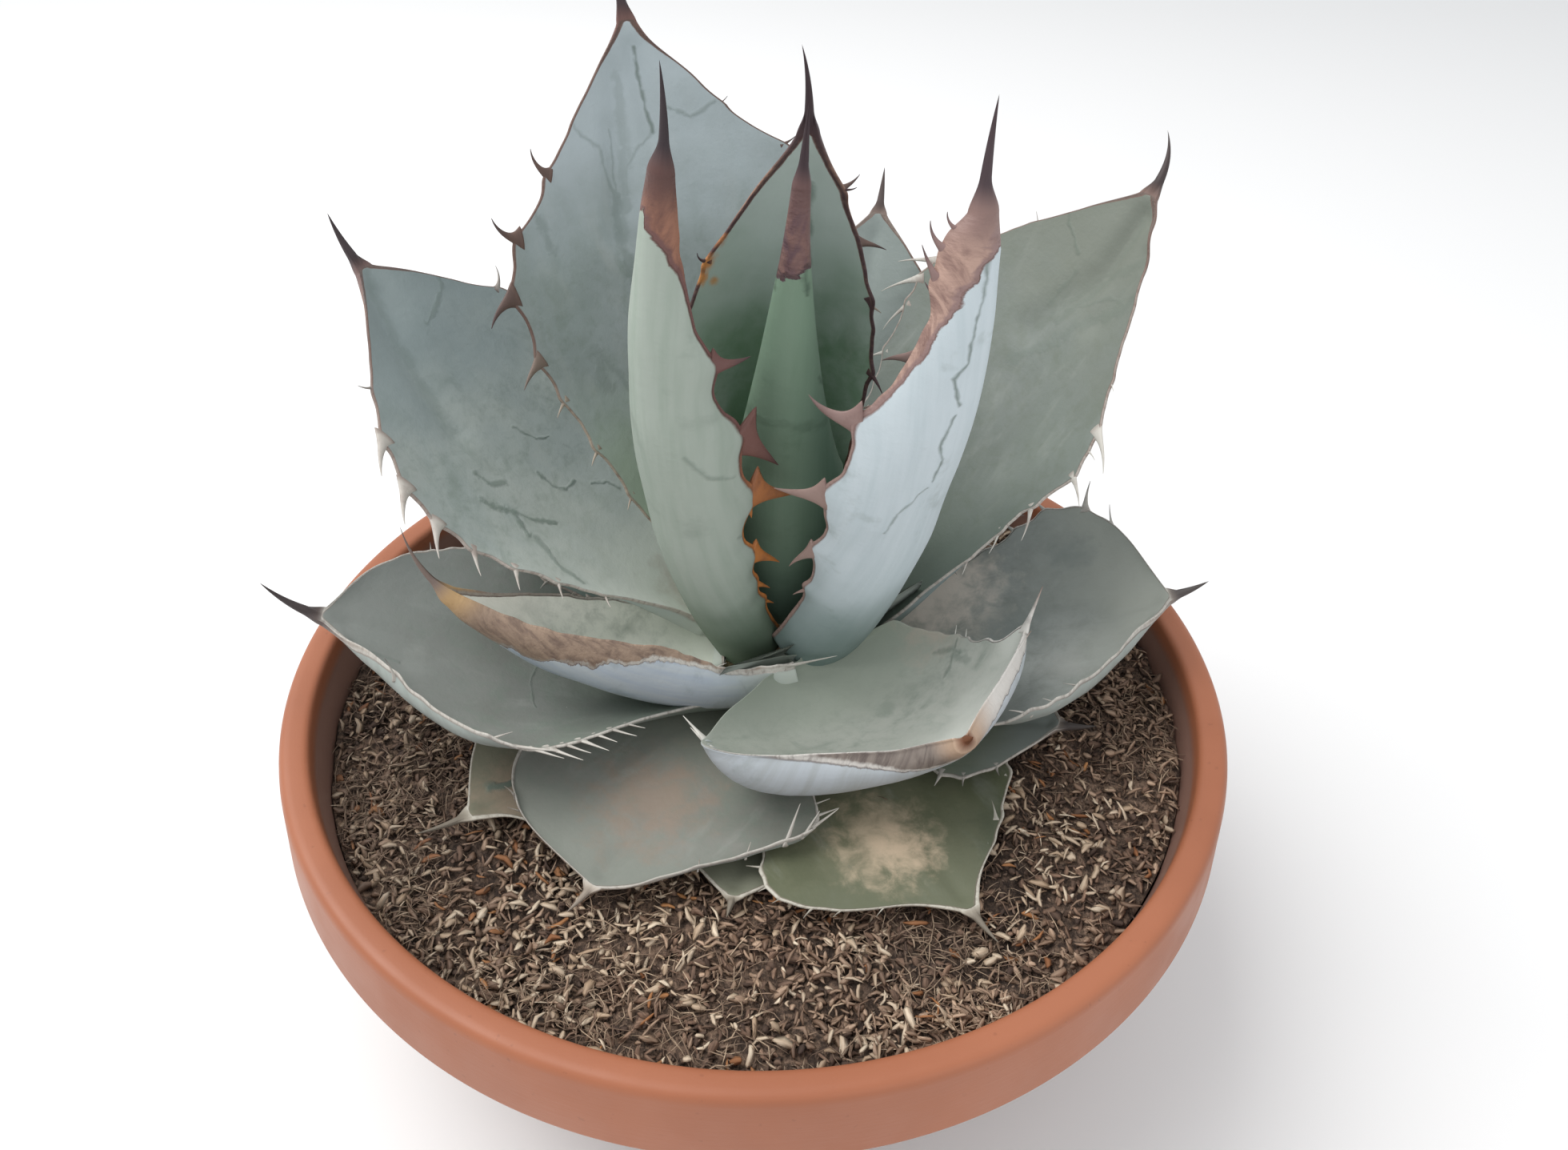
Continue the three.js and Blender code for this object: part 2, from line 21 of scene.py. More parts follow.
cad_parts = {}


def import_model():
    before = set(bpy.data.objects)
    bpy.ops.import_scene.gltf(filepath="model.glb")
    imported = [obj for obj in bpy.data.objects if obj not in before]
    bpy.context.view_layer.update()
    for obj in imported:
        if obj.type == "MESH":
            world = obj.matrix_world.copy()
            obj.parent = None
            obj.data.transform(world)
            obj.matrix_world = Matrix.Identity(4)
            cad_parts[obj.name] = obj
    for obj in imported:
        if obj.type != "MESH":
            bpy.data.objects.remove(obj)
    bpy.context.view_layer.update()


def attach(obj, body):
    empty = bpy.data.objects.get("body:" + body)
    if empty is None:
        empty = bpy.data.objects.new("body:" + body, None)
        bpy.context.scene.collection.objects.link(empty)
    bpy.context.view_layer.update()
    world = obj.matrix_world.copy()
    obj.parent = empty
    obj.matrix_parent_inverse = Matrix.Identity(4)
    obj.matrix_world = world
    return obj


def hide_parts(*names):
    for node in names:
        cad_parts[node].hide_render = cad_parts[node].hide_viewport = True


Array = NDArray[np.float64]
Quads = NDArray[np.int64]
Colour = tuple[int, int, int]
Triple = tuple[float, float, float]
Pair = tuple[float, float]
Socket = bpy.types.NodeSocket
Piece = bpy.types.Object

LOG = logging.getLogger("agave")
MM = 0.001
FLAT = 100.0  # millimetres in one unit of the place on a flattened leaf
ROOT_BODY = "root"


class Side(Enum):
    """The two margins of a leaf, seen from its upper face with the tip away."""

    RIGHT = -1
    LEFT = 1


# Small tools.


def smooth(t: Array) -> Array:
    """Returns 3t^2 - 2t^3 with t held between 0 and 1."""
    t = np.clip(t, 0.0, 1.0)
    return t * t * (3.0 - 2.0 * t)


def mix(a: Array | float, b: Array | float, t: Array | float) -> Array:
    """Returns a where t is 0 and b where t is 1."""
    return a + (b - a) * t


def unit(v: Array) -> Array:
    """Returns the vectors of v at length one."""
    return v / np.maximum(np.linalg.norm(v, axis=-1, keepdims=True), 1e-12)


def linear(colour: Colour) -> tuple[float, float, float, float]:
    """Turns a colour as seen on a screen into the light that a shader works with.

    Args:
        colour: red, green and blue from 0 to 255.

    Returns:
        Red, green, blue and alpha from 0 to 1.
    """
    c = np.array(colour, dtype=float) / 255.0
    light = np.where(c <= 0.04045, c / 12.92, ((c + 0.055) / 1.055) ** 2.4)
    return (float(light[0]), float(light[1]), float(light[2]), 1.0)


def lattice(points: Array, size: float, seed: int) -> Array:
    """Smooth noise: random numbers on a cubic lattice, blended between its corners.

    Args:
        points: places, shape (..., 3), in the unit of size.
        size: the side of a lattice cell.
        seed: picks the random numbers.

    Returns:
        One number from -1 to 1 for each place.
    """
    cells = 32
    table = np.random.default_rng(seed).uniform(-1.0, 1.0, (cells, cells, cells))
    scaled = points / size
    cell = np.floor(scaled).astype(int)
    t = smooth(scaled - cell)
    total = np.zeros(points.shape[:-1])
    for corner in np.ndindex(2, 2, 2):
        at = (cell + corner) % cells
        share = np.where(np.array(corner) == 1, t, 1.0 - t).prod(axis=-1)
        total += share * table[at[..., 0], at[..., 1], at[..., 2]]
    return total


def fractal(points: Array, size: float, seed: int, octaves: int = 3) -> Array:
    """Returns lattice noise summed over octaves, each half as large and half as strong."""
    layers = [lattice(points, size / 2**k, seed + k) * 0.5**k for k in range(octaves)]
    return np.sum(layers, axis=0)


def curve_through(pairs: tuple[Pair, ...], at: Array) -> Array:
    """A smooth line through given pairs.

    Between two neighbours it is a cubic, whose slope at each pair is the slope between the
    pairs beside it.

    Args:
        pairs: (place, value), with rising places.
        at: the places wanted.

    Returns:
        The values there.
    """
    place, value = np.array(pairs).T
    slope = np.gradient(value, place)
    k = np.clip(np.searchsorted(place, at) - 1, 0, len(place) - 2)
    gap = place[k + 1] - place[k]
    t = np.clip((at - place[k]) / gap, 0.0, 1.0)
    low = (1 + 2 * t) * (1 - t) ** 2 * value[k] + t * (1 - t) ** 2 * gap * slope[k]
    high = t**2 * (3 - 2 * t) * value[k + 1] + t**2 * (t - 1) * gap * slope[k + 1]
    return low + high


# Meshes.


@dataclass
class Skin:
    """Vertices, quads and the numbers that they carry, before they become a mesh."""

    points: Array
    quads: Quads
    numbers: dict[str, Array] = field(default_factory=dict)

    @staticmethod
    def joined(skins: list[Skin]) -> Skin:
        """Puts several skins into one.

        Args:
            skins: the skins, which all carry the same names.

        Returns:
            One skin that holds them all.
        """
        starts = np.cumsum([0] + [len(s.points) for s in skins[:-1]])
        points = np.concatenate([s.points for s in skins])
        quads = np.concatenate([s.quads + n for s, n in zip(skins, starts)])
        names = skins[0].numbers
        numbers = {name: np.concatenate([s.numbers[name] for s in skins]) for name in names}
        return Skin(points, quads, numbers)

    def to_object(self, name: str, material: bpy.types.Material) -> Piece:
        """Puts the skin into the scene as a mesh object at the origin.

        A quad whose last two corners are the same becomes a triangle.

        Args:
            name: the piece's name.
            material: the finish of all its faces.

        Returns:
            The new object.
        """
        triangle = self.quads[:, 2] == self.quads[:, 3]
        counts = np.where(triangle, 3, 4)
        keep = np.ones(self.quads.shape, dtype=bool)
        keep[triangle, 3] = False
        corners = self.quads[keep]
        mesh = bpy.data.meshes.new(name)
        mesh.vertices.add(len(self.points))
        mesh.vertices.foreach_set("co", (self.points * MM).astype(np.float32).ravel())
        mesh.loops.add(len(corners))
        mesh.loops.foreach_set("vertex_index", corners.astype(np.int32))
        mesh.polygons.add(len(counts))
        starts = np.concatenate([[0], np.cumsum(counts)[:-1]]).astype(np.int32)
        mesh.polygons.foreach_set("loop_start", starts)
        mesh.update(calc_edges=True)
        mesh.validate()
        mesh.shade_smooth()
        for label, values in self.numbers.items():
            kind = "FLOAT" if values.ndim == 1 else "FLOAT_VECTOR"
            slot = "value" if values.ndim == 1 else "vector"
            layer = mesh.attributes.new(label, kind, "POINT")
            layer.data.foreach_set(slot, values.astype(np.float32).ravel())
        mesh.materials.append(material)
        made = bpy.data.objects.new(name, mesh)
        bpy.context.scene.collection.objects.link(made)
        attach(made, ROOT_BODY)
        LOG.info("%s: %d vertices, %d faces", name, len(self.points), len(counts))
        return made


def tube_quads(rings: int, around: int) -> Quads:
    """Quads between neighbouring closed rings of vertices.

    Args:
        rings: the number of rings.
        around: the number of vertices in each ring.

    Returns:
        Quads, whose faces look out where a ring turns left about its way forward.
    """
    i, j = np.meshgrid(np.arange(rings - 1), np.arange(around), indexing="ij")
    here = i * around + j
    beside = i * around + (j + 1) % around
    return np.stack([here, beside, beside + around, here + around], axis=-1).reshape(-1, 4)


def end_fan(ring: int, around: int, middle: int, closes: bool) -> Quads:
    """Triangles from one ring to a single vertex.

    Args:
        ring: the number of the ring's first vertex.
        around: the number of vertices in the ring.
        middle: the vertex that they meet in.
        closes: whether the vertex lies past the last ring, and not before the first.

    Returns:
        Quads whose last two corners are the same.
    """
    here = ring + np.arange(around)
    beside = ring + (np.arange(around) + 1) % around
    centre = np.full(around, middle)
    first, second = (here, beside) if closes else (beside, here)
    return np.stack([first, second, centre, centre], axis=-1)


def closed_tube(rings: Array, numbers: dict[str, Array], near: Array, far: Array) -> Skin:
    """A skin over a stack of closed rings, with each end closed in a point.

    Args:
        rings: places, shape (rings, around, 3).
        numbers: what the vertices carry, each of shape (rings, around, ...).
        near: the point in which the first ring closes.
        far: the point in which the last ring closes.

    Returns:
        The skin.
    """
    count, around, _ = rings.shape
    flat = rings.reshape(-1, 3)
    points = np.concatenate([flat, near[None], far[None]])
    first = end_fan(0, around, len(flat), closes=False)
    last = end_fan((count - 1) * around, around, len(flat) + 1, closes=True)
    carried = {}
    for name, values in numbers.items():
        shape = (-1,) + values.shape[2:]
        ends = [values[0].mean(axis=0)[None], values[-1].mean(axis=0)[None]]
        carried[name] = np.concatenate([values.reshape(shape), *ends])
    return Skin(points, np.concatenate([tube_quads(count, around), first, last]), carried)


# Finishes.


class Graph:
    """The nodes of one material, with short ways to add to them.

    A value given to a node is a number, a vector or another node's socket, and None leaves
    the input as it is. Places are in metres on the object, or in units of FLAT millimetres
    on a flattened leaf.
    """

    def __init__(self, name: str) -> None:
        """Starts a material that has one principled surface.

        Args:
            name: the material's name.
        """
        self.material = bpy.data.materials.new(name)
        self.material.use_nodes = True
        self.tree = self.material.node_tree
        self.tree.nodes.clear()
        self.surface = self.tree.nodes.new("ShaderNodeBsdfPrincipled")
        output = self.tree.nodes.new("ShaderNodeOutputMaterial")
        self.tree.links.new(self.surface.outputs[0], output.inputs[0])

    def put(self, socket: Socket, value: object) -> None:
        """Gives an input its value.

        Args:
            socket: the input.
            value: another node's socket, a plain value, or None to leave the input.
        """
        if isinstance(value, Socket):
            self.tree.links.new(value, socket)
        elif value is not None:
            socket.default_value = value

    def add(self, kind: str, *values: object, operation: str | None = None
            ) -> bpy.types.Node:
        """Adds a node.

        Args:
            kind: its type, without the words that all shader nodes start with.
            values: what its first inputs get.
            operation: which sum it does, where it has a choice.

        Returns:
            The node.
        """
        node = self.tree.nodes.new("ShaderNode" + kind)
        if operation is not None:
            node.operation = operation
        for socket, value in zip(node.inputs, values):
            self.put(socket, value)
        return node

    def carried(self, name: str, output: str = "Fac") -> Socket:
        """What the vertices carry under a name.

        Args:
            name: the name.
            output: "Fac" for a number and "Vector" for a vector.

        Returns:
            The number or the vector.
        """
        node = self.add("Attribute")
        node.attribute_name = name
        return node.outputs[output]

    def place(self) -> Socket:
        """Returns the place on the object."""
        return self.add("TexCoord").outputs["Object"]

    def part(self, vector: Socket, axis: int) -> Socket:
        """Returns one of the three numbers of a vector."""
        return self.add("SeparateXYZ", vector).outputs[axis]

    def scaled(self, vector: Socket, by: Triple, shift: Triple = (0.0, 0.0, 0.0)) -> Socket:
        """Returns a vector times one scale for each axis, and then shifted."""
        return self.add("VectorMath", vector, by, shift, operation="MULTIPLY_ADD").outputs[0]

    def pair(self, operation: str, a: object, b: object) -> Socket:
        """Returns the result of one sum on two vectors."""
        output = "Value" if operation in ("DISTANCE", "DOT_PRODUCT") else "Vector"
        return self.add("VectorMath", a, b, operation=operation).outputs[output]

    def math(self, operation: str, a: object, b: object = None) -> Socket:
        """Returns the result of one sum on one or two numbers."""
        return self.add("Math", a, b, operation=operation).outputs[0]

    def plus(self, a: object, b: object) -> Socket:
        """Returns a + b."""
        return self.math("ADD", a, b)

    def minus(self, a: object, b: object) -> Socket:
        """Returns a - b."""
        return self.math("SUBTRACT", a, b)

    def times(self, a: object, b: object) -> Socket:
        """Returns a times b."""
        return self.math("MULTIPLY", a, b)

    def larger(self, a: object, b: object) -> Socket:
        """Returns the larger of a and b."""
        return self.math("MAXIMUM", a, b)

    def from_segment(self, spot: Socket, start: Pair, end: Pair) -> Socket:
        """How far a place lies from a straight stretch, both in millimetres.

        Args:
            spot: the place.
            start: where the stretch starts.
            end: where it ends.

        Returns:
            The distance.
        """
        along = (end[0] - start[0], end[1] - start[1], 0.0)
        square = along[0] ** 2 + along[1] ** 2
        gone = self.pair("SUBTRACT", spot, (*start, 0.0))
        share = self.times(self.pair("DOT_PRODUCT", gone, along), 1.0 / square)
        share.node.use_clamp = True
        reach = self.add("VectorMath", along, operation="SCALE")
        self.put(reach.inputs["Scale"], share)
        return self.pair("DISTANCE", gone, reach.outputs["Vector"])

    def ease(self, value: Socket, low: float, high: float, start: float = 0.0,
             end: float = 1.0) -> Socket:
        """A smooth step from one number to another.

        Args:
            value: what decides.
            low: the value at which the step starts.
            high: the value at which it ends.
            start: the number below the step.
            end: the number above it.

        Returns:
            The number.
        """
        node = self.add("MapRange", value, low, high, start, end)
        node.interpolation_type = "SMOOTHSTEP"
        return node.outputs[0]

    def blend(self, share: Socket, a: Socket | Colour, b: Socket | Colour) -> Socket:
        """Mixes two colours.

        Args:
            share: how much of the second one there is.
            a: the first colour, where it is plain as seen on a screen.
            b: the second colour.

        Returns:
            The mixed colour.
        """
        node = self.add("Mix", share)
        node.data_type = "RGBA"
        sockets = [s for s in node.inputs if s.type == "RGBA"]
        for socket, colour in zip(sockets, (a, b)):
            self.put(socket, colour if isinstance(colour, Socket) else linear(colour))
        return next(s for s in node.outputs if s.type == "RGBA")

    def noise(self, vector: Socket, scale: float, detail: float = 2.0,
              roughness: float = 0.5, distortion: float = 0.0) -> Socket:
        """Noise from 0 to 1, near 0.5 on the average.

        Args:
            vector: the place.
            scale: how many grains fit in one unit.
            detail: how many finer layers there are.
            roughness: how strong the finer layers are.
            distortion: how far it is stirred.

        Returns:
            The noise.
        """
        node = self.add("TexNoise", vector)
        names = ("Scale", "Detail", "Roughness", "Distortion")
        for name, value in zip(names, (scale, detail, roughness, distortion)):
            node.inputs[name].default_value = value
        return node.outputs[0]

    def bump(self, height: Socket, depth: float) -> Socket:
        """A surface direction raised by a height.

        Args:
            height: a number from 0 to 1.
            depth: how far 1 stands above 0, in millimetres.

        Returns:
            The direction.
        """
        node = self.add("Bump")
        node.inputs["Distance"].default_value = depth * MM
        self.put(node.inputs["Height"], height)
        return node.outputs[0]

    def finish(self, colour: object, roughness: object, normal: Socket | None,
               gloss: float) -> bpy.types.Material:
        """Wires the surface.

        Args:
            colour: its colour, as light.
            roughness: how matt it is, from 0 to 1.
            normal: its direction, or None for the mesh's own.
            gloss: how strongly it mirrors.

        Returns:
            The material.
        """
        self.put(self.surface.inputs["Base Color"], colour)
        self.put(self.surface.inputs["Roughness"], roughness)
        self.put(self.surface.inputs["Normal"], normal)
        self.surface.inputs["Specular IOR Level"].default_value = gloss
        return self.material


@dataclass(frozen=True)
class Horn:
    """The horny band that runs from the spine down the margins on one face.

    At a share s of the leaf's length the band is as wide as foot, growing to tip past the
    share start. power above 1 keeps it narrow until close to the tip.
    """

    foot: float = 0.9
    tip: float = 5.0
    start: float = 0.72
    power: float = 2.0


@dataclass(frozen=True)
class Blotch:
    """A round faded place on the upper face, in millimetres across and along the leaf."""

    across: float
    along: float
    radius: float
    colour: Colour
    strength: float = 0.8


@dataclass(frozen=True)
class Stroke:
    """A dark line on one face: a bud print, a scratch, or painted shade along a crease.

    points are (across, along) in millimetres on the flattened leaf. depth sinks the upper
    face along the line, and raises the back, over about the distance spread to each side.
    """

    points: tuple[Pair, ...]
    width: float = 0.7
    strength: float = 0.6
    depth: float = 0.0
    spread: float = 3.0
    back: bool = False

    def distance(self, x: Array, y: Array) -> Array:
        """How far places on the flattened leaf lie from the line.

        Args:
            x: places across the leaf.
            y: places along it.

        Returns:
            The distances, each to the nearest of the line's straight stretches.
        """
        spots = np.stack(np.broadcast_arrays(x, y), axis=-1)
        nearest = np.full(spots.shape[:-1], np.inf)
        for start, end in zip(self.points, self.points[1:]):
            a, b = np.array(start), np.array(end)
            t = np.clip((spots - a) @ (b - a) / ((b - a) @ (b - a)), 0.0, 1.0)
            away = np.linalg.norm(spots - a - t[..., None] * (b - a), axis=-1)
            nearest = np.minimum(nearest, away)
        return nearest


@dataclass(frozen=True)
class LeafFinish:
    """The colours of one leaf, as seen on a screen in soft light.

    change is the stretch of the leaf's length over which the horn turns from its low to
    its high colour, cap the share of the length above which the whole back is horn, and
    patch_left the colour of the horny patch on the left half where it is another. bloom is
    the waxy colour towards the tip, and scars the strength of the scattered tooth prints.
    blotches lie on the face, and stains on its margin too.
    """

    face: Colour = (148, 159, 157)
    tint: Colour = (138, 151, 146)
    # foot: the greener colour low on the leaf, set paler or darker per leaf as painted light and
    # shade.
    foot: Colour = (130, 146, 132)
    bloom: Colour = (160, 171, 172)
    back: Colour = (168, 182, 187)
    rubbed: Colour = (114, 127, 116)
    dust: Colour = (168, 172, 166)
    mark_and_fold_shade: Colour = (96, 110, 100)
    spine: Colour = (70, 60, 62)
    spine_root: Colour = (122, 96, 90)
    horn_high: Colour = (112, 96, 90)
    horn_low: Colour = (184, 178, 168)
    patch: Colour = (158, 126, 108)
    patch_dark: Colour = (118, 92, 82)
    face_horn: Horn = Horn(0.35, 1.6, 0.93, 1)
    back_horn: Horn = Horn(0.5, 4, 0.85, 1.5)
    cap: float = 1.1
    patch_left: Colour | None = None
    blotches: tuple[Blotch, ...] = ()
    stains: tuple[Blotch, ...] = ()
    strokes: tuple[Stroke, ...] = ()
    scars: float = 0.35
    change: Pair = (0.45, 0.8)

    def base_colour(self, g: Graph, flat: Socket, share: Socket) -> Socket:
        """The waxy upper face: mottled, dusty, bloomed at the tip, and greener at the foot, with
        painted light and shade there.

        Args:
            g: the material's nodes.
            flat: the place on the flattened leaf.
            share: the share of the leaf's length.

        Returns:
            The colour.
        """
        broad = g.ease(g.noise(flat, 3.0, 3.0, 0.55, 0.4), 0.36, 0.66)
        colour = g.blend(broad, self.face, self.tint)
        fine = g.ease(g.noise(flat, 24.0, 5.0, 0.66), 0.44, 0.78, 0.0, 0.4)
        colour = g.blend(fine, colour, self.rubbed)
        mottle = g.ease(g.noise(flat, 9.0, 5.0, 0.62, 0.8), 0.46, 0.72, 0.0, 0.45)
        colour = g.blend(mottle, colour, self.rubbed)
        drifts = g.noise(g.scaled(flat, (9.0, 3.5, 1.0)), 1.0, 4.0, 0.6, 0.5)
        colour = g.blend(g.ease(drifts, 0.5, 0.8, 0.0, 0.35), colour, self.dust)
        waxy = g.plus(share, g.times(g.noise(flat, 4.0, 2.0), 0.3))
        colour = g.blend(g.ease(waxy, 0.72, 1.06, 0.0, 0.85), colour, self.bloom)
        # Low on the leaf: its greener base, with painted light and shade in the foot colour.
        towards_foot = g.plus(share, g.times(g.noise(flat, 5.0), 0.2))
        return g.blend(g.ease(towards_foot, 0.2, 0.66, 1.0, 0.0), colour, self.foot)

    def back_colour(self, g: Graph, flat: Socket, share: Socket) -> Socket:
        """The paler back: streaked along the leaf, faintly rubbed, and greener at the foot, with
        painted light and shade there.

        Args:
            g: the material's nodes.
            flat: the place on the flattened leaf.
            share: the share of the leaf's length.

        Returns:
            The colour.
        """
        streaks = g.noise(g.scaled(flat, (30.0, 2.2, 1.0)), 1.0, 3.0, 0.6)
        colour = g.blend(g.ease(streaks, 0.35, 0.75, 0.0, 0.35), self.back, self.tint)
        worn = g.ease(g.noise(flat, 9.0, 4.0, 0.6), 0.56, 0.72, 0.0, 0.25)
        colour = g.blend(worn, colour, self.rubbed)
        # Low on the leaf: its greener base, with painted light and shade in the foot colour.
        towards_foot = g.plus(share, g.times(g.noise(flat, 5.0), 0.16))
        return g.blend(g.ease(towards_foot, 0.1, 0.42, 0.8, 0.0), colour, self.foot)

    def band(self, g: Graph, horn: Horn, edge: Socket, share: Socket, wander: Socket) -> Socket:
        """How far a place lies inside the horny band, in millimetres.

        Args:
            g: the material's nodes.
            horn: the band's widths.
            edge: the distance from the margin, in millimetres.
            share: the share of the leaf's length.
            wander: noise that makes the band's rim uneven, about 0.

        Returns:
            A number that is above 0 inside the band.
        """
        wide = g.math("POWER", g.ease(share, horn.start, 1.0), horn.power)
        width = g.plus(g.times(wide, horn.tip - horn.foot), horn.foot)
        uneven = g.times(wander, g.times(width, 1.1))
        return g.minus(g.plus(width, uneven), edge)

    def marks(self, g: Graph, flat: Socket, back: bool) -> Socket | float:
        """The strokes of one face, with a wobbling middle and a ragged width.

        Args:
            g: the material's nodes.
            flat: the place on the flattened leaf.
            back: whether the strokes of the back are meant.

        Returns:
            A share from 0 to 1, or 0 where the face has none.
        """
        sway = g.noise(flat, 11.0, 3.0).node.outputs["Color"]
        wobble = g.scaled(sway, (4.0, 4.0, 0.0), (-2.0, -2.0, 0.0))
        spot = g.pair("ADD", g.scaled(flat, (FLAT, FLAT, 0.0)), wobble)
        ragged = g.ease(g.noise(flat, 26.0, 3.0), 0.3, 0.62, 0.25, 1.15)
        total: Socket | float = 0.0
        for stroke in self.strokes:
            if stroke.back is not back:
                continue
            away: Socket | float = 99.0
            for start, end in zip(stroke.points, stroke.points[1:]):
                away = g.math("MINIMUM", away, g.from_segment(spot, start, end))
            inside = g.minus(away, g.times(ragged, stroke.width))
            soft = 0.35 + 0.45 * stroke.width
            total = g.larger(total, g.ease(inside, -soft, soft, stroke.strength, 0.0))
        return total

    def scar_marks(self, g: Graph, flat: Socket) -> Socket:
        """Tooth prints, scattered over the upper face: the lower arcs of some rings.

        Args:
            g: the material's nodes.
            flat: the place on the flattened leaf.

        Returns:
            A share from 0 to 1.
        """
        scale, stretch, radius = 3.6, 1.25, 0.2
        cells = g.add("TexVoronoi", g.scaled(flat, (1.0, stretch, 1.0)))
        cells.inputs["Scale"].default_value = scale
        ring = g.math("ABSOLUTE", g.minus(cells.outputs["Distance"], radius))
        arc = g.ease(ring, 0.004, 0.018, 1.0, 0.0)
        spread = g.scaled(flat, (scale, scale * stretch, scale))
        offset = g.pair("SUBTRACT", spread, cells.outputs["Position"])
        lower = g.ease(g.part(offset, 1), -0.14, -0.06, 1.0, 0.0)
        some = g.ease(g.part(cells.outputs["Color"], 0), 0.6, 0.64)
        return g.times(g.times(g.times(arc, lower), some), self.scars)

    def material(self, name: str, seed: int, length: float) -> bpy.types.Material:
        """Builds the whole finish.

        Args:
            name: the material's name.
            seed: shifts the noise, so that no two leaves have the same.
            length: the leaf's length in millimetres.

        Returns:
            The material.
        """
        g = Graph(name)
        flat = g.scaled(g.carried("flat", "Vector"), (1.0, 1.0, 1.0), (0.0, 0.0, 3.7 * seed))
        share, edge, under, horn = (g.carried(n) for n in ("share", "edge", "under", "horn"))
        wander = g.minus(g.noise(flat, 16.0, 5.0, 0.62, 0.3), 0.5)
        speckle = g.noise(flat, 60.0, 4.0, 0.62)

        # The face, the back and the blend between them round the margin.
        # The strokes: bud prints, scratches and tooth prints, and painted shade along the folds.
        marks = g.larger(self.marks(g, flat, False), self.scar_marks(g, flat))
        face = self.base_colour(g, flat, share)
        for blotch in self.blotches:
            face = self.blotched(g, face, blotch, flat, wander)
        face = g.blend(marks, face, self.mark_and_fold_shade)
        scratches = self.marks(g, flat, True)
        back = g.blend(scratches, self.back_colour(g, flat, share), self.mark_and_fold_shade)
        side = g.ease(under, 0.35, 0.65)
        colour = g.blend(side, face, back)

        # The horny band: a rim, a streaked patch inside it and a dark line where it ends.
        on_face = self.band(g, self.face_horn, edge, share, wander)
        on_back = self.band(g, self.back_horn, edge, share, wander)
        capped = g.plus(g.times(g.minus(share, self.cap), length), g.times(wander, 16.0))
        on_back = g.larger(on_back, capped)
        inside = g.plus(g.times(on_back, side), g.times(on_face, g.minus(1.0, side)))
        high = g.ease(share, *self.change)
        rim = g.blend(high, self.horn_low, self.horn_high)
        rim = g.blend(g.ease(speckle, 0.45, 0.7, 0.0, 0.5), rim, self.patch_dark)
        grain = g.noise(g.scaled(flat, (50.0, 14.0, 1.0)), 1.0, 4.0, 0.6, 0.6)
        patch = g.blend(g.ease(grain, 0.38, 0.72, 0.0, 0.85), self.patch, self.patch_dark)
        if self.patch_left is not None:
            patch = g.blend(g.ease(g.part(flat, 0), -0.02, 0.02), patch, self.patch_left)
        patch = g.blend(g.ease(share, 0.93, 1.0), patch, self.spine_root)
        band = g.blend(g.ease(inside, 1.0, 2.0), rim, patch)
        colour = g.blend(g.ease(inside, 0.0, 0.35), colour, band)
        outline = g.ease(g.math("ABSOLUTE", g.minus(inside, 0.2)), 0.1, 0.45, 0.7, 0.0)
        outline = g.times(outline, g.ease(share, 0.3, 0.8, 0.25, 1.0))
        colour = g.blend(outline, colour, self.patch_dark)

        for stain in self.stains:
            colour = self.blotched(g, colour, stain, flat, wander)

        # Teeth and end spine, which darken to their points.
        end = g.blend(high, self.horn_low, self.spine)
        tooth = g.blend(g.ease(horn, 0.35, 1.0, 0.0, 0.75), rim, end)
        spine = g.blend(g.ease(horn, 0.02, 0.3), self.spine_root, self.spine)
        hard = g.blend(g.ease(share, 0.985, 0.995), tooth, spine)
        colour = g.blend(g.ease(horn, 0.02, 0.14), colour, hard)

        # Sheen and fine relief.
        tough = g.larger(g.ease(inside, 0.0, 0.5), g.ease(horn, 0.0, 0.1))
        rough = g.ease(tough, 0.0, 1.0, 0.62, 0.5)
        relief = g.plus(g.times(marks, -0.8), g.times(g.noise(flat, 8.0, 4.0, 0.6), 0.9))
        relief = g.plus(relief, g.times(scratches, -0.8))
        relief = g.plus(relief, g.times(speckle, 0.2))
        bark = g.times(g.plus(speckle, grain), tough)
        normal = g.bump(g.plus(relief, g.times(bark, 0.7)), 0.45)
        return g.finish(colour, rough, normal, 0.32)

    @staticmethod
    def blotched(g: Graph, under: Socket, blotch: Blotch, flat: Socket, wander: Socket
                 ) -> Socket:
        """Lays one faded place over a colour.

        Args:
            g: the material's nodes.
            under: the colour below.
            blotch: the place.
            flat: the place on the flattened leaf.
            wander: noise that frays its rim, about 0.

        Returns:
            The colour with the place on it.
        """
        radius = blotch.radius / FLAT
        x = g.minus(g.part(flat, 0), blotch.across / FLAT)
        y = g.minus(g.part(flat, 1), blotch.along / FLAT)
        away = g.math("SQRT", g.plus(g.times(x, x), g.times(y, y)))
        frayed = g.plus(away, g.times(wander, 1.6 * radius))
        share = g.ease(frayed, 0.1 * radius, radius, blotch.strength, 0.0)
        return g.blend(share, under, blotch.colour)


# The leaves.


@dataclass(frozen=True)
class Tooth:
    """One tooth on a margin.

    at is its share of the leaf's length, length its size, lean the angle in degrees by
    which its root points to the leaf's tip, and hook how much further it turns by its end.
    """

    side: Side
    at: float
    length: float
    lean: float
    hook: float


Outline = tuple[Pair, ...]
Teeth = tuple[tuple[float, float, float, float], ...]


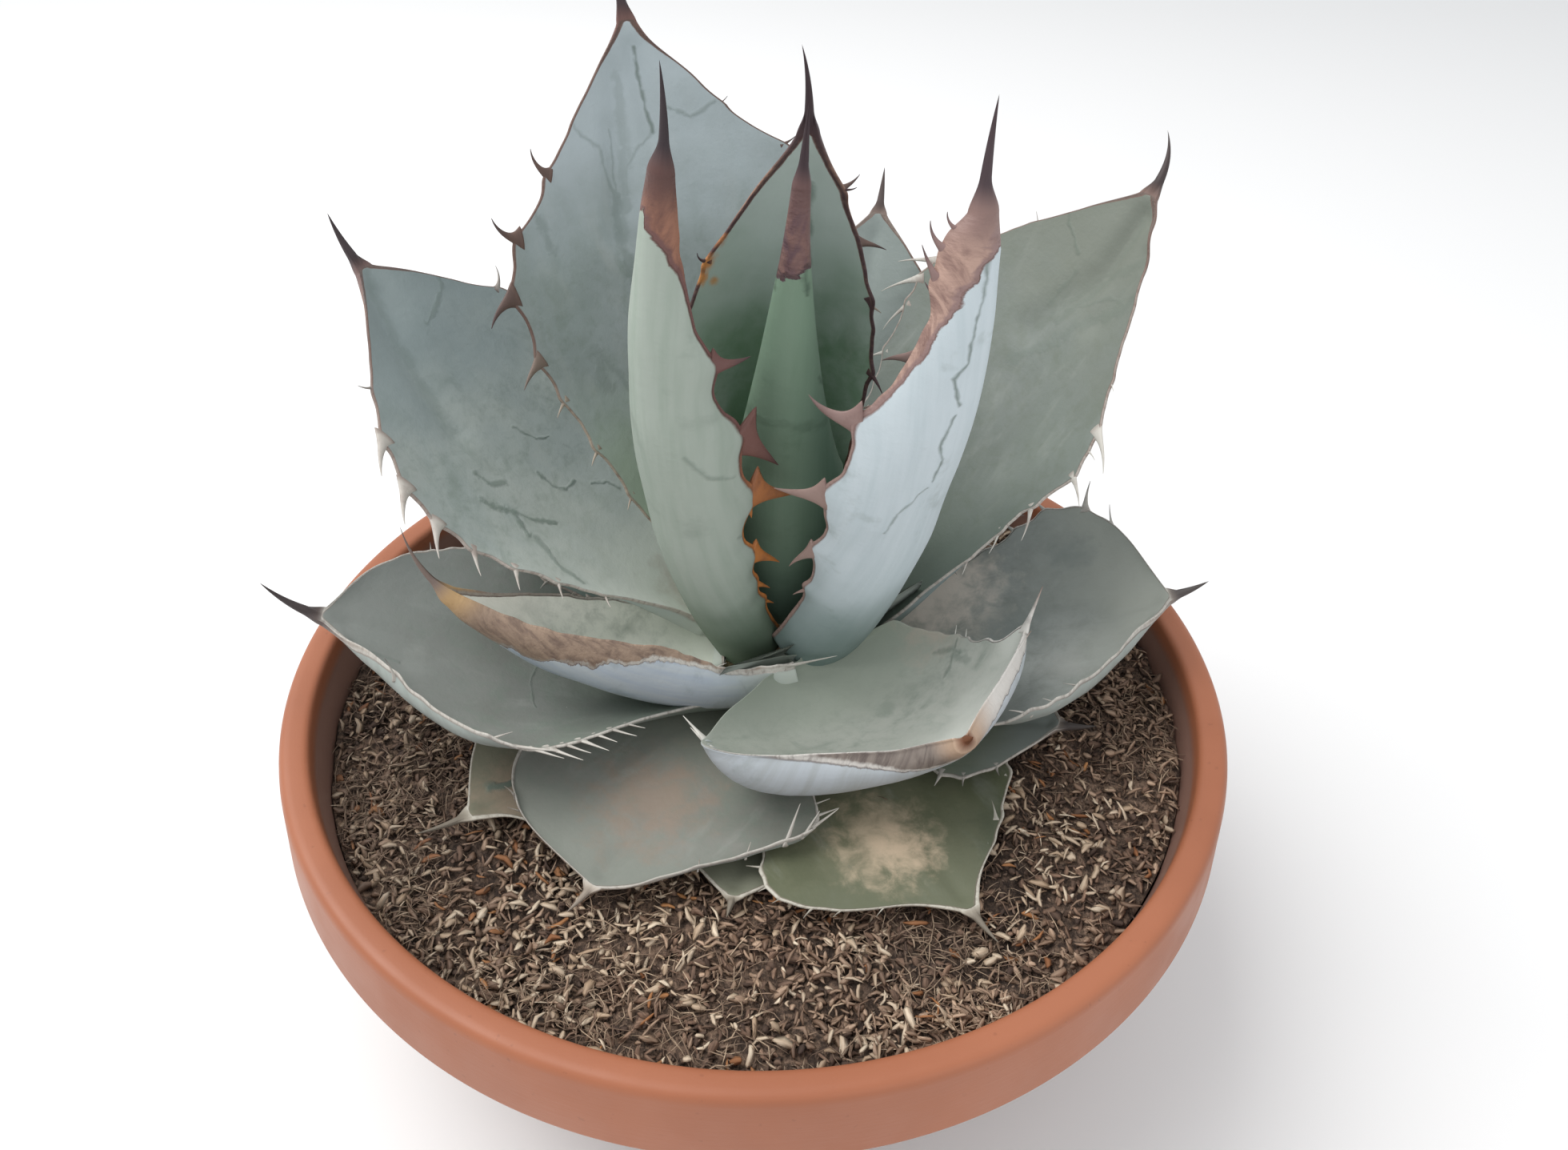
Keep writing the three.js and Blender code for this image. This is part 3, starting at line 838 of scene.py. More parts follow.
@dataclass(frozen=True)
class Leaf:
    """One leaf of the rosette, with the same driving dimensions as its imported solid.

    turn is the direction that the tip points in, in degrees from +X towards +Y. reach and
    height place the tip, from the plant's axis and from the bowl's underside; out, up and
    foot_turn place the foot. lift is the angle at which the leaf leaves its foot, and pull
    how far it keeps that way. cup is the angle that each half of the section bends through
    at foot, middle and tip; peak the place of the widest point; base the share of the width
    at the foot; skew the share by which the left half is the wider one. thick is the
    midrib's thickness at foot, middle and tip, and swell how far out it lasts. roll turns
    the section about the midrib, by that many degrees at foot and tip. taper holds the two
    powers by which the blade narrows to its tip. spine is the end thorn's length, curl how
    far it bends up and sway how far it bends to the left. fold is the depth of the crease
    near the tip and wave how far the margins swing up and down. Where a margin has no teeth
    of its own, teeth is their number, bite their size and hook their lean at foot and tip.

    right and left give a half's width at shares of the length, where it departs from the
    plain form. lips are the widths of the rims that turn up on the right and on the left,
    from the share lip_from on. right_teeth and left_teeth are (share of the length, size,
    lean, hook) for each tooth, where a margin has its own. stout is how broad the teeth
    are, and thorn how thick the spine is beside the blade's end.
    """

    node: str
    turn: float
    reach: float
    height: float
    out: float = 14.0
    foot_turn: float | None = None
    up: float = 110.0
    lift: float = 12.0
    pull: float = 0.5
    width: float = 90.0
    cup: Triple = (40.0, 18.0, 12.0)
    peak: float = 0.66
    base: float = 0.5
    skew: float = 0.0
    roll: Pair = (0.0, 0.0)
    taper: Pair = (1.7, 1.1)
    thick: Triple = (10.0, 5.0, 2.5)
    swell: float = 2.2
    spine: float = 16.0
    curl: float = 0.2
    sway: float = 0.0
    teeth: int = 7
    bite: float = 8.0
    hook: Pair = (-45.0, 30.0)
    fold: float = 1.0
    wave: float = 1.0
    right: Outline = ()
    left: Outline = ()
    lips: Pair = (0.0, 0.0)
    lip_from: float = 0.35
    right_teeth: Teeth = ()
    left_teeth: Teeth = ()
    stout: float = 1.0
    thorn: float = 0.6
    slot: str = "leaf"
    finish: LeafFinish = LeafFinish()


@dataclass
class Section:
    """The leaf's upper face, cut across at each station.

    x and z are the places to the left of the midrib and above it, and angle the turn of
    the face about the midrib, each of shape (stations, vertices).
    """

    x: Array
    z: Array
    angle: Array


@dataclass
class Rosette:
    """The plant: all its leaves about one axis.

    edge is how thick a blade is at its margin, and round_out the share of it by which the
    margin bulges. spine_radius is half the width that is left at a blade's end. teeth_from
    and teeth_to are the shares of the length between which evenly spaced teeth lie. A blade
    has stations rings, which lie closer together at the tip where crowding is below 1. Each
    has upper vertices on the face, lower on the back and bead on each edge. lip_turn is the
    angle in degrees by which a lip turns up, bay the depth of the margin between teeth, and
    margin_reach how far in from the margin the blade still follows it.
    """

    leaves: tuple[Leaf, ...]
    axis: Pair = (10.0, 6.0)
    edge: float = 0.85
    round_out: float = 0.55
    spine_radius: float = 2.7
    teeth_from: float = 0.17
    teeth_to: float = 0.85
    stations: int = 200
    crowding: float = 0.93
    spine_rings: int = 26
    upper: int = 40
    lower: int = 28
    bead: int = 4
    lip_turn: float = 82.0
    bay: float = 1.1
    margin_reach: float = 7.0

    def build(self) -> list[Piece]:
        """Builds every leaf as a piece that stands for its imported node.

        Returns:
            The pieces.
        """
        pieces = []
        for number, leaf in enumerate(self.leaves):
            length = self.length(leaf)
            material = leaf.finish.material("finish_" + leaf.node, number + 1, length)
            piece = self.skin(leaf).to_object(leaf.node + "_piece", material)
            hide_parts(leaf.node)
            pieces.append(piece)
        return pieces

    def length(self, leaf: Leaf) -> float:
        """Returns the midrib's length in millimetres."""
        place = self.midrib(leaf, np.linspace(0.0, 1.0, 400))[0]
        return float(np.linalg.norm(np.diff(place, axis=0), axis=1).sum())

    def midrib(self, leaf: Leaf, s: Array) -> tuple[Array, Array, Array, Array]:
        """The midrib and the directions along it.

        It is a curve through three points: the foot, a point that the leaf is pulled to as
        it leaves the foot, and the tip. At a share s the place is (1-s)^2 foot + 2s(1-s)
        pulled + s^2 tip.

        Args:
            leaf: the leaf.
            s: shares of its length.

        Returns:
            Places, tangents, directions to the left and directions out of the upper face.
        """
        turn = math.radians(leaf.turn)
        foot_turn = math.radians(leaf.turn if leaf.foot_turn is None else leaf.foot_turn)
        axis = np.array([*self.axis, 0.0])
        ahead = np.array([math.cos(turn), math.sin(turn), 0.0])
        foot = axis + leaf.out * np.array([math.cos(foot_turn), math.sin(foot_turn), 0.0])
        tip = axis + leaf.reach * ahead
        foot[2] = leaf.up
        tip[2] = leaf.height
        lift = math.radians(leaf.lift)
        away = ahead * math.cos(lift) + np.array([0.0, 0.0, math.sin(lift)])
        pulled = foot + leaf.pull * np.linalg.norm(tip - foot) * away
        s = s[:, None]
        place = (1 - s) ** 2 * foot + 2 * s * (1 - s) * pulled + s**2 * tip
        tangent = unit((1 - s) * (pulled - foot) + s * (tip - pulled))
        flat = np.array([-math.sin(turn), math.cos(turn), 0.0])
        left = unit(flat - (tangent @ flat)[:, None] * tangent)
        face = np.cross(tangent, left)
        roll = np.radians(mix(leaf.roll[0], leaf.roll[1], s))
        turned = np.cos(roll) * left + np.sin(roll) * face
        face = np.cos(roll) * face - np.sin(roll) * left
        return place, tangent, turned, face

    def half_width(self, leaf: Leaf, s: Array, side: Side) -> Array:
        """Half the blade's width on one side.

        It swells from the foot to the widest point and narrows to the spine as
        (1 - q^a)^b, where q runs from 0 at the widest point to 1 at the tip. A side with
        its own outline passes through that instead.

        Args:
            leaf: the leaf.
            s: shares of its length.
            side: which half.

        Returns:
            The widths in millimetres.
        """
        own = leaf.left if side is Side.LEFT else leaf.right
        at = np.concatenate([s, [pair[0] for pair in own]])
        rise = mix(leaf.base, 1.0, smooth(at / leaf.peak))
        q = np.clip((at - leaf.peak) / (1 - leaf.peak), 0.0, 1.0)
        fall = np.clip(1 - q ** leaf.taper[0], 0.0, 1.0) ** leaf.taper[1]
        shape = np.where(at < leaf.peak, rise, fall)
        wide = leaf.width / 2 * shape + self.spine_radius * at**6
        wide = wide * (1 + leaf.skew * side.value)
        if not own:
            return wide
        more = [(share, value - w) for (share, value), w in zip(own, wide[len(s):])]
        change = curve_through(((0.0, 0.0), *more, (1.0, 0.0)), s)
        return wide[:len(s)] + change

    def section(self, leaf: Leaf, s: Array, u: Array) -> Section:
        """The upper face's section at each station.

        From the midrib out, the face turns evenly by the cup angle, and over the lip by
        up to lip_turn more. Its places are the running sums of the cosine and the sine of
        that turn.

        Args:
            leaf: the leaf.
            s: shares of the length.
            u: places across, from -1 at the right margin to 1 at the left one.

        Returns:
            The section.
        """
        steps = 160
        v = np.linspace(0.0, 1.0, steps + 1)
        bend = np.radians(np.maximum(self.three_way(leaf.cup, s), 0.5))[:, None]
        made = []
        for side in Side:
            wide = self.half_width(leaf, s, side)[:, None]
            lip = leaf.lips[0] if side is Side.RIGHT else leaf.lips[1]
            angle = bend * v
            if lip > 0.0:
                grown = smooth((s - leaf.lip_from) / 0.2) * smooth((0.98 - s) / 0.12)
                curled = smooth((v * wide - (wide - lip)) / lip)
                angle = angle + math.radians(self.lip_turn) * grown[:, None] * curled
            x = np.cos(angle) * wide / steps
            z = np.sin(angle) * wide / steps
            x, z = (np.cumsum(a, axis=1) - a[:, :1] / 2 - a / 2 for a in (x, z))
            made.append((x, z, angle))
        spot = np.abs(u) * steps
        low = np.minimum(spot.astype(int), steps - 1)
        part = spot - low
        right, left = ([mix(a[:, low], a[:, low + 1], part) for a in half] for half in made)
        sign = np.sign(u)
        x, z, angle = (np.where(u > 0, b, a) for a, b in zip(right, left))
        return Section(x * sign, z, angle * sign)

    @staticmethod
    def three_way(values: Triple, s: Array) -> Array:
        """Blends foot, middle and tip values along the leaf.

        Args:
            values: what holds at the foot, in the middle and at the tip.
            s: shares of the length.

        Returns:
            The value at each share.
        """
        foot, middle, tip = values
        low = mix(foot, middle, smooth(2 * s))
        high = mix(middle, tip, smooth(2 * s - 1))
        return np.where(s < 0.5, low, high)

    def toothing(self, leaf: Leaf) -> list[Tooth]:
        """The leaf's teeth: a margin's own list, or evenly spaced ones of uneven length.

        Args:
            leaf: the leaf.

        Returns:
            The teeth of both margins.
        """
        made = []
        for side, own in ((Side.RIGHT, leaf.right_teeth), (Side.LEFT, leaf.left_teeth)):
            made += [Tooth(side, *tooth) for tooth in own]
            if own:
                continue
            for k in range(1, 2 * leaf.teeth, 2):
                share = k / (2 * leaf.teeth)
                size = leaf.bite * (0.6 + 0.4 * math.sin(math.pi * share))
                wave = math.sin((leaf.turn + k) * 12.9898 + side.value * 78.233) * 43758.5453
                chance = wave - math.floor(wave)
                at = self.teeth_from + (self.teeth_to - self.teeth_from) * share
                lean = leaf.hook[0] + (leaf.hook[1] - leaf.hook[0]) * share
                made.append(Tooth(side, at + 0.02 * (chance - 0.5),
                                  size * (0.55 + 0.45 * chance), 0.6 * lean, 0.9 * lean))
        return made

    def margin(self, leaf: Leaf, s: Array, length: float, side: Side) -> Array:
        """How far a margin stands out from its plain line, in millimetres.

        Between the teeth it is a shallow, uneven bay. Under each tooth it has a cushion,
        which falls off as exp(-|x|^1.7), where x is the distance over 1.6 mm plus 0.26
        times stout times the tooth's length. Its height is stout times 0.6 mm plus a fifth
        of the tooth's length.

        Args:
            leaf: the leaf.
            s: shares of its length.
            length: the midrib's length.
            side: which margin.

        Returns:
            The distances.
        """
        spots = np.stack([s * length, np.full(s.shape, 5.0 * leaf.turn), 0 * s], axis=-1)
        total = -self.bay + 0.35 * leaf.wave * lattice(spots, 3.6, 90 + side.value)
        total = total * smooth((s - 0.08) / 0.1) * smooth((0.97 - s) / 0.1)
        for tooth in self.toothing(leaf):
            if tooth.side is side:
                away = (s - tooth.at) * length / (1.6 + 0.26 * leaf.stout * tooth.length)
                high = (0.6 + 0.2 * tooth.length) * leaf.stout
                total = total + high * np.exp(-(np.abs(away) ** 1.7))
        return total

    def blade(self, leaf: Leaf) -> tuple[Array, dict[str, Array]]:
        """The blade as closed rings: over the upper face and back under the lower one.

        u is the place across, from -1 at the right margin to 1 at the left one. The lower
        face lies below the upper one by the midrib's thickness times 1 - |u|^swell, plus
        the edge, and the edge is a half round.

        Args:
            leaf: the leaf.

        Returns:
            The rings and the numbers that their vertices carry.
        """
        s = np.linspace(0.0, 1.0, self.stations) ** self.crowding
        place, _, left, face = self.midrib(leaf, s)
        length = self.length(leaf)

        over, back = (np.linspace(-1, 1, n) for n in (self.upper, self.lower))
        over, back = (0.6 * np.sin(v * math.pi / 2) + 0.4 * v for v in (over, back[::-1]))
        turn = (np.arange(self.bead) + 1) / (self.bead + 1)
        bulge, sunk = np.sin(turn * math.pi), (1 - np.cos(turn * math.pi)) / 2
        none, whole = np.zeros(self.upper), np.ones(self.lower)
        u = np.concatenate([over, np.ones(self.bead), back, -np.ones(self.bead)])
        under = np.concatenate([none, turn, whole, turn[::-1]])
        arc = np.concatenate([none, bulge, 0 * whole, bulge])
        depth = np.concatenate([none, sunk, whole, sunk[::-1]])

        sign = np.sign(u)
        halves = [self.half_width(leaf, s, side)[:, None] for side in Side]
        wide = np.where(u > 0, halves[1], halves[0])
        cut = self.section(leaf, s, u)
        across = left[:, None] * cut.x[..., None]
        points = place[:, None] + across + face[:, None] * cut.z[..., None]
        cosine, sine = np.cos(cut.angle)[..., None], np.sin(cut.angle)[..., None]
        normal = face[:, None] * cosine - left[:, None] * sine
        outward = (left[:, None] * cosine + face[:, None] * sine) * sign[:, None]

        margins = [self.margin(leaf, s, length, side)[:, None] for side in Side]
        offset = np.where(u > 0, margins[1], margins[0])
        reach = np.clip(1 - (1 - np.abs(u)) * wide / self.margin_reach, 0.0, 1.0) ** 2
        offset = offset * reach + arc * self.edge * self.round_out
        rib = np.interp(s, [0.0, 0.5, 1.0], leaf.thick)[:, None]
        thickness = rib * (1 - np.abs(u) ** leaf.swell) + self.edge
        down = -thickness * depth
        lift = self.relief(leaf, s, u, length, wide)
        points = points + outward * offset[..., None] + normal * (down + lift)[..., None]

        gap = (1 - np.abs(u)) * wide
        along = np.broadcast_to((s * length)[:, None], gap.shape)
        flat = np.stack([u * wide, along, np.zeros(gap.shape)], axis=-1) / FLAT
        numbers = {
            "flat": flat,
            "share": np.broadcast_to(s[:, None], gap.shape).copy(),
            "edge": gap,
            "under": np.broadcast_to(under, gap.shape).copy(),
            "horn": np.zeros(gap.shape),
        }
        return points, numbers

    def relief(self, leaf: Leaf, s: Array, u: Array, length: float, wide: Array) -> Array:
        """The low forms of both faces together: waves at the margins and a tip crease.

        Args:
            leaf: the leaf.
            s: shares of the length, one for each ring.
            u: places across, one for each vertex of a ring.
            length: the midrib's length.
            wide: the half width at each vertex.

        Returns:
            How far each vertex moves out of the upper face, in millimetres.
        """
        y = s[:, None] * length
        x = u * wide
        seed = int(leaf.turn)
        grid = np.stack([x, np.broadcast_to(y, x.shape), np.full(x.shape, 7.3 * seed)], axis=-1)
        swing = leaf.wave * np.abs(u) ** 3 * lattice(grid * [0.0, 1.0, 1.0], 17.0, seed)
        swing = swing * smooth(y / 20.0) * smooth((length - y) / 14.0)
        dents = 0.35 * leaf.wave * lattice(grid, 14.0, seed + 50)
        crease = np.exp(-((x / 2.6) ** 2)) * smooth((s[:, None] - 0.45) / 0.25)
        crease = -leaf.fold * crease * smooth((1.0 - s[:, None]) / 0.06)
        total = swing + dents + crease
        for stroke in leaf.finish.strokes:
            if stroke.depth > 0.0:
                away = stroke.distance(x, y) / stroke.spread
                total = total - stroke.depth * np.exp(-(away**2))
        return total

    def spine(self, leaf: Leaf, last: Array, numbers: dict[str, Array]
              ) -> tuple[Array, dict[str, Array], Array]:
        """The end thorn: rings that go on from the blade's last one.

        They turn from the folded section into a round one over the first third, and shrink
        as (1-t)^0.85. The middle line runs along the tangent, bends up by curl t^2 and to
        the left by sway t^3, all times the thorn's length.

        Args:
            leaf: the leaf.
            last: the blade's last ring.
            numbers: what the blade's vertices carry.

        Returns:
            The rings, their numbers and the point.
        """
        _, tangent, left, face = (v[0] for v in self.midrib(leaf, np.array([1.0])))
        t = (np.arange(self.spine_rings)[:, None, None] + 1) / (self.spine_rings + 1)

        def line(t: Array) -> Array:
            """Returns the thorn's middle line at the shares t."""
            bend = face * leaf.curl * t**2 + left * leaf.sway * t**3
            return leaf.spine * (tangent * t + bend) - face * 0.5 * leaf.thick[2] * t

        middle = last.mean(axis=0)
        spread = last - middle
        angle = np.arctan2(spread @ face, spread @ left)
        round_ring = np.cos(angle)[:, None] * left + np.sin(angle)[:, None] * face
        size = 0.5 * (np.abs(spread @ left).max() + np.abs(spread @ face).max())
        shape = mix(spread, round_ring * size * leaf.thorn, smooth(t / 0.3))
        rings = middle + shape * (1 - t) ** 0.85 + line(t)
        grown = {}
        for name, values in numbers.items():
            grown[name] = np.repeat(values[-1][None], self.spine_rings, axis=0)
        grown["horn"] = np.broadcast_to(0.04 + 0.96 * t[..., 0], rings.shape[:2]).copy()
        grown["edge"] = np.zeros(rings.shape[:2])
        return rings, grown, middle + line(np.array(1.0))

    def tooth_skins(self, leaf: Leaf) -> list[Skin]:
        """The leaf's teeth, each a bent flattened horn whose root sinks into the margin.

        A tooth's middle line starts a little inside the margin and turns from lean to lean
        plus hook. Its section is an ellipse, whose half breadth is 0.08 mm plus stout times
        the tooth's length times (0.13 (1-t)^1.1 + 0.17 exp(-(t/0.2)^1.4)), and whose half
        thickness goes as (1-t)^0.85. Near the leaf's tip the teeth are slimmer.

        Args:
            leaf: the leaf.

        Returns:
            One skin for each tooth.
        """
        skins = []
        rings, around, inset = 18, 12, 2.4
        t = np.linspace(0.0, 0.97, rings)
        ring = np.arange(around) / around * 2 * math.pi
        length = self.length(leaf)
        for tooth in self.toothing(leaf):
            s = np.array([tooth.at])
            place, tangent, left, face = (v[0] for v in self.midrib(leaf, s))
            side = tooth.side.value
            wide = self.half_width(leaf, s, tooth.side)
            cut = self.section(leaf, s, np.array([float(side)]))
            x, z, turn = (float(v[0, 0]) for v in (cut.x, cut.z, cut.angle))
            foot = float(self.margin(leaf, s, length, tooth.side)[0])
            outward = (left * math.cos(turn) + face * math.sin(turn)) * side
            normal = face * math.cos(turn) - left * math.sin(turn)
            wave = float(self.relief(leaf, s, np.array([side * 1.0]), length, wide[None])[0, 0])
            root = place + left * x + face * z
            root = root + outward * (foot - inset) + normal * (wave - 0.5 * self.edge)
            reach = tooth.length + inset - max(foot, 0.0)
            angle = np.radians(tooth.lean + tooth.hook * t**1.3)
            step = np.gradient(t) * reach
            ahead = np.cos(angle)[:, None] * outward + np.sin(angle)[:, None] * tangent
            across = np.cos(angle)[:, None] * tangent - np.sin(angle)[:, None] * outward
            line = root + np.cumsum(ahead * step[:, None], axis=0) - ahead[0] * step[0]
            flare = 0.17 * np.exp(-((t / 0.2) ** 1.4))
            stout = leaf.stout * (1 - 0.45 * smooth((tooth.at - 0.8) / 0.1))
            broad = stout * tooth.length * (0.13 * (1 - t) ** 1.1 + flare) + 0.08
            slim = stout * (0.06 * tooth.length + 0.25) * (1 - t) ** 0.85 + 0.06
            slim = np.minimum(slim, 0.8)
            section = (np.cos(ring)[None, :, None] * across[:, None] * broad[:, None, None]
                       + np.sin(ring)[None, :, None] * normal * slim[:, None, None])
            rings_at = line[:, None] + section
            if side < 0:
                rings_at = rings_at[:, ::-1]
            shape = rings_at.shape[:2]
            here = [side * float(wide[0]) / FLAT, tooth.at * length / FLAT, 0.0]
            numbers = {
                "flat": np.broadcast_to(here, (*shape, 3)) + rings_at * 0.002,
                "share": np.full(shape, min(tooth.at, 0.97)),
                "edge": np.zeros(shape),
                "under": np.full(shape, 0.5),
                "horn": np.broadcast_to(t[:, None], shape).copy(),
            }
            point = line[-1] + ahead[-1] * 0.03 * reach
            skins.append(closed_tube(rings_at, numbers, rings_at[0].mean(axis=0), point))
        return skins

    def skin(self, leaf: Leaf) -> Skin:
        """The whole leaf: blade and spine in one skin, with its teeth.

        Args:
            leaf: the leaf.

        Returns:
            The skin.
        """
        rings, numbers = self.blade(leaf)
        more, grown, point = self.spine(leaf, rings[-1], numbers)
        rings = np.concatenate([rings, more])
        carried = {name: np.concatenate([numbers[name], grown[name]]) for name in numbers}
        blade = closed_tube(rings, carried, rings[0].mean(axis=0), point)
        return Skin.joined([blade, *self.tooth_skins(leaf)])


# Finishes of the leaves.


def shaded_fold(*points: Pair, width: float = 0.6, strength: float = 0.4, depth: float = 1.0,
         spread: float = 4.0) -> Stroke:
    """Returns a soft fold that the leaf kept from the bud, on its upper face, with painted shade
    along it.
    """
    return Stroke(points, width, strength, depth, spread)


TALL = LeafFinish(
    face=(148, 157, 157), tint=(136, 147, 144), foot=(174, 192, 168), bloom=(182, 193, 198),
    spine=(66, 54, 56), spine_root=(120, 88, 82), horn_high=(96, 78, 72),
    horn_low=(172, 160, 144), change=(0.42, 0.6),
    strokes=(
        shaded_fold((-1, 178), (-2, 155), width=0.5, strength=0.7, depth=1.4),
        shaded_fold((6, 172), (9, 150), (15, 128), width=1.8, strength=0.22, depth=1.8,
             spread=5),
        shaded_fold((12, 158), (15, 136), width=0.4, strength=0.3),
        Stroke(((15, 140), (17, 118), (15, 108)), 2.2, 0.3),
        Stroke(((26, 160), (18, 154), (16, 142), (17, 128)), 0.6, 0.3),
        Stroke(((-2, 155), (4, 153), (9, 147), (11, 140)), 0.5, 0.28),
        Stroke(((-8, 162), (-14, 158), (-23, 161)), 0.6, 0.35),
        Stroke(((47, 146), (44, 138), (41, 129)), 1.6, 0.3),
        Stroke(((36, 98), (35, 87)), 2.4, 0.22),
        Stroke(((36, 98), (30, 90), (28, 84)), 1.2, 0.25),
    ),
)
BROAD_LEFT = LeafFinish(
    face=(152, 161, 158), tint=(162, 169, 164), foot=(196, 201, 192), bloom=(138, 150, 151),
    spine=(66, 56, 58), spine_root=(118, 94, 90), horn_high=(112, 100, 96),
    horn_low=(190, 184, 176), change=(0.76, 0.9),
    strokes=(
        shaded_fold((0, 160), (8, 141), (13, 124), (16, 111), width=2, strength=0.2,
             depth=2, spread=6),
        Stroke(((-23, 150), (-21, 145), (-12, 140), (-5, 139)), 0.8, 0.35),
        Stroke(((-4, 99), (-8, 91), (-13, 89)), 0.5, 0.6),
        Stroke(((2, 84), (2, 77), (-2, 73), (-7, 73)), 0.7, 0.65),
        Stroke(((-12, 68), (-17, 64), (-18, 60)), 0.5, 0.6),
        Stroke(((24, 98), (23, 92), (17, 90)), 1, 0.6),
        Stroke(((31, 92), (26, 85), (22, 79), (15, 70)), 1.1, 0.65),
        Stroke(((25, 84), (27, 74)), 1, 0.6),
        Stroke(((26, 72), (30, 60), (29, 52)), 1, 0.45),
    ),
    blotches=(Blotch(-4, 22, 16, (158, 146, 134), 0.5),),
)
BROAD_RIGHT = LeafFinish(
    face=(124, 131, 126), tint=(122, 130, 123), foot=(112, 124, 114), bloom=(124, 129, 119),
    rubbed=(108, 116, 104), spine=(70, 60, 60), spine_root=(124, 100, 92),
    horn_high=(112, 98, 92), horn_low=(198, 194, 186), change=(0.82, 0.92),
    strokes=(
        shaded_fold((-2, 160), (0, 141), (13, 116), width=1.2, strength=0.12, depth=2.4,
             spread=5),
        shaded_fold((-12, 150), (-8, 128), width=1.2, strength=0.1, depth=1.6, spread=5),
        Stroke(((-20, 140), (-4, 126), (12, 104)), 2.4, 0.22),
        Stroke(((-14, 152), (-2, 140), (6, 122)), 1.6, 0.2),
        Stroke(((23, 154), (21, 149), (12, 143)), 0.6, 0.35),
        Stroke(((10, 138), (13, 125)), 0.8, 0.2),
        Stroke(((3, 128), (-7, 136), (-16, 136)), 0.6, 0.22),
    ),
)
BACK_RIGHT = LeafFinish(
    face=(138, 147, 143), tint=(128, 138, 132), bloom=(146, 155, 152), spine=(92, 80, 78),
    spine_root=(130, 112, 104), horn_high=(136, 124, 116), horn_low=(190, 184, 174),
    strokes=(shaded_fold((0, 112), (1, 86), width=0.8, strength=0.5),),
)
YOUNG = LeafFinish(
    face=(120, 140, 124), tint=(108, 134, 112), foot=(72, 92, 80), back=(124, 147, 127),
    bloom=(120, 140, 124), rubbed=(84, 110, 88), mark_and_fold_shade=(66, 84, 70), spine=(64, 50, 54),
    spine_root=(106, 80, 78),
    horn_high=(88, 68, 68), horn_low=(176, 116, 70), patch=(128, 98, 92),
    patch_dark=(94, 72, 80), face_horn=Horn(0.8, 2, 0.7, 1.4),
    back_horn=Horn(0.7, 3, 0.7, 1.6), cap=0.845, scars=0.2, change=(0.3, 0.5),
    strokes=(
        Stroke(((2.5, 118), (2, 130), (0.5, 146)), 0.7, 0.7, back=True),
        Stroke(((-4, 119), (-2.5, 132), (-1, 143)), 0.5, 0.6, back=True),
        Stroke(((8, 92), (12, 86), (14, 76)), 0.5, 0.55, back=True),
        Stroke(((-12, 78), (0, 80), (14, 76)), 1.4, 0.22, back=True),
    ),
)
CENTRE_BACK = LeafFinish(
    face=(156, 174, 161), tint=(110, 140, 112), foot=(60, 94, 62), back=(128, 150, 132),
    bloom=(190, 203, 197), rubbed=(100, 130, 100), mark_and_fold_shade=(84, 102, 88), spine=(62, 48, 52),
    spine_root=(80, 62, 64), horn_high=(78, 58, 60), horn_low=(120, 82, 66),
    face_horn=Horn(0.9, 1.8, 0.8, 1.4),
    back_horn=Horn(1, 5, 0.8, 1.6), scars=0.25, change=(0.3, 0.55),
    strokes=(shaded_fold((0, 146), (1, 100), (0, 40), width=0.9, strength=0.6),),
    stains=(
        Blotch(25.5, 135, 3, (178, 120, 78), 0.9), Blotch(29, 129.5, 4, (196, 132, 76), 1),
        Blotch(32, 125, 3.5, (196, 136, 80), 1), Blotch(27, 122.5, 2.4, (190, 140, 84), 0.9),
    ),
)
UPRIGHT_LEFT = LeafFinish(
    back=(166, 176, 166), tint=(128, 146, 130), foot=(50, 76, 48), spine=(56, 46, 50),
    spine_root=(92, 66, 62), horn_high=(112, 80, 76), horn_low=(186, 118, 62),
    patch=(152, 108, 88), patch_dark=(102, 70, 64), back_horn=Horn(0.6, 7, 0.8, 1.5),
    cap=0.95, change=(0.35, 0.62),
    strokes=(
        Stroke(((8, 96), (12, 88), (17, 84)), 0.5, 0.4, back=True),
        Stroke(((16, 60), (20, 50)), 0.4, 0.4, back=True),
    ),
)
UPRIGHT_RIGHT = LeafFinish(
    back=(202, 213, 218), tint=(174, 190, 194), foot=(82, 106, 96), spine=(76, 62, 66),
    spine_root=(140, 114, 108), horn_high=(150, 124, 120), horn_low=(158, 134, 126),
    patch=(190, 158, 144),
    patch_dark=(126, 98, 92), back_horn=Horn(0.6, 6, 0.62, 0.9), cap=0.972,
    strokes=(
        Stroke(((-2.2, 143.6), (-4.4, 132.4), (-6.9, 119), (-9.5, 115.6), (-7.8, 108)),
               0.35, 0.75, 0.5, 2.4, back=True),
        Stroke(((-8.4, 105), (-11, 96.5), (-9, 92), (-11, 85)),
               0.35, 0.75, 0.5, 2.4, back=True),
        Stroke(((-12, 83), (-17.3, 75), (-19, 68)), 0.25, 0.6, 0.4, 2.4, back=True),
    ),
)
# The boat's pale bloom, with its face colours made paler still as painted light for its shaded
# trough.
BOAT = LeafFinish(
    face=(236, 236, 227), tint=(220, 222, 212), back=(180, 191, 203), foot=(206, 212, 200),
    bloom=(234, 231, 221), spine=(126, 110, 102), spine_root=(182, 150, 108),
    horn_high=(160, 150, 140), horn_low=(204, 200, 192), patch=(158, 136, 118),
    patch_dark=(110, 92, 82), face_horn=Horn(0.6, 2, 0.7), back_horn=Horn(1.4, 14, 0.1, 1.6),
    strokes=(
        Stroke(((22, 22), (14, 16), (2, 18), (-6, 26)), 0.4, 0.5),
        Stroke(((-2, 58), (3, 52), (8, 54)), 0.5, 0.45),
    ),
)
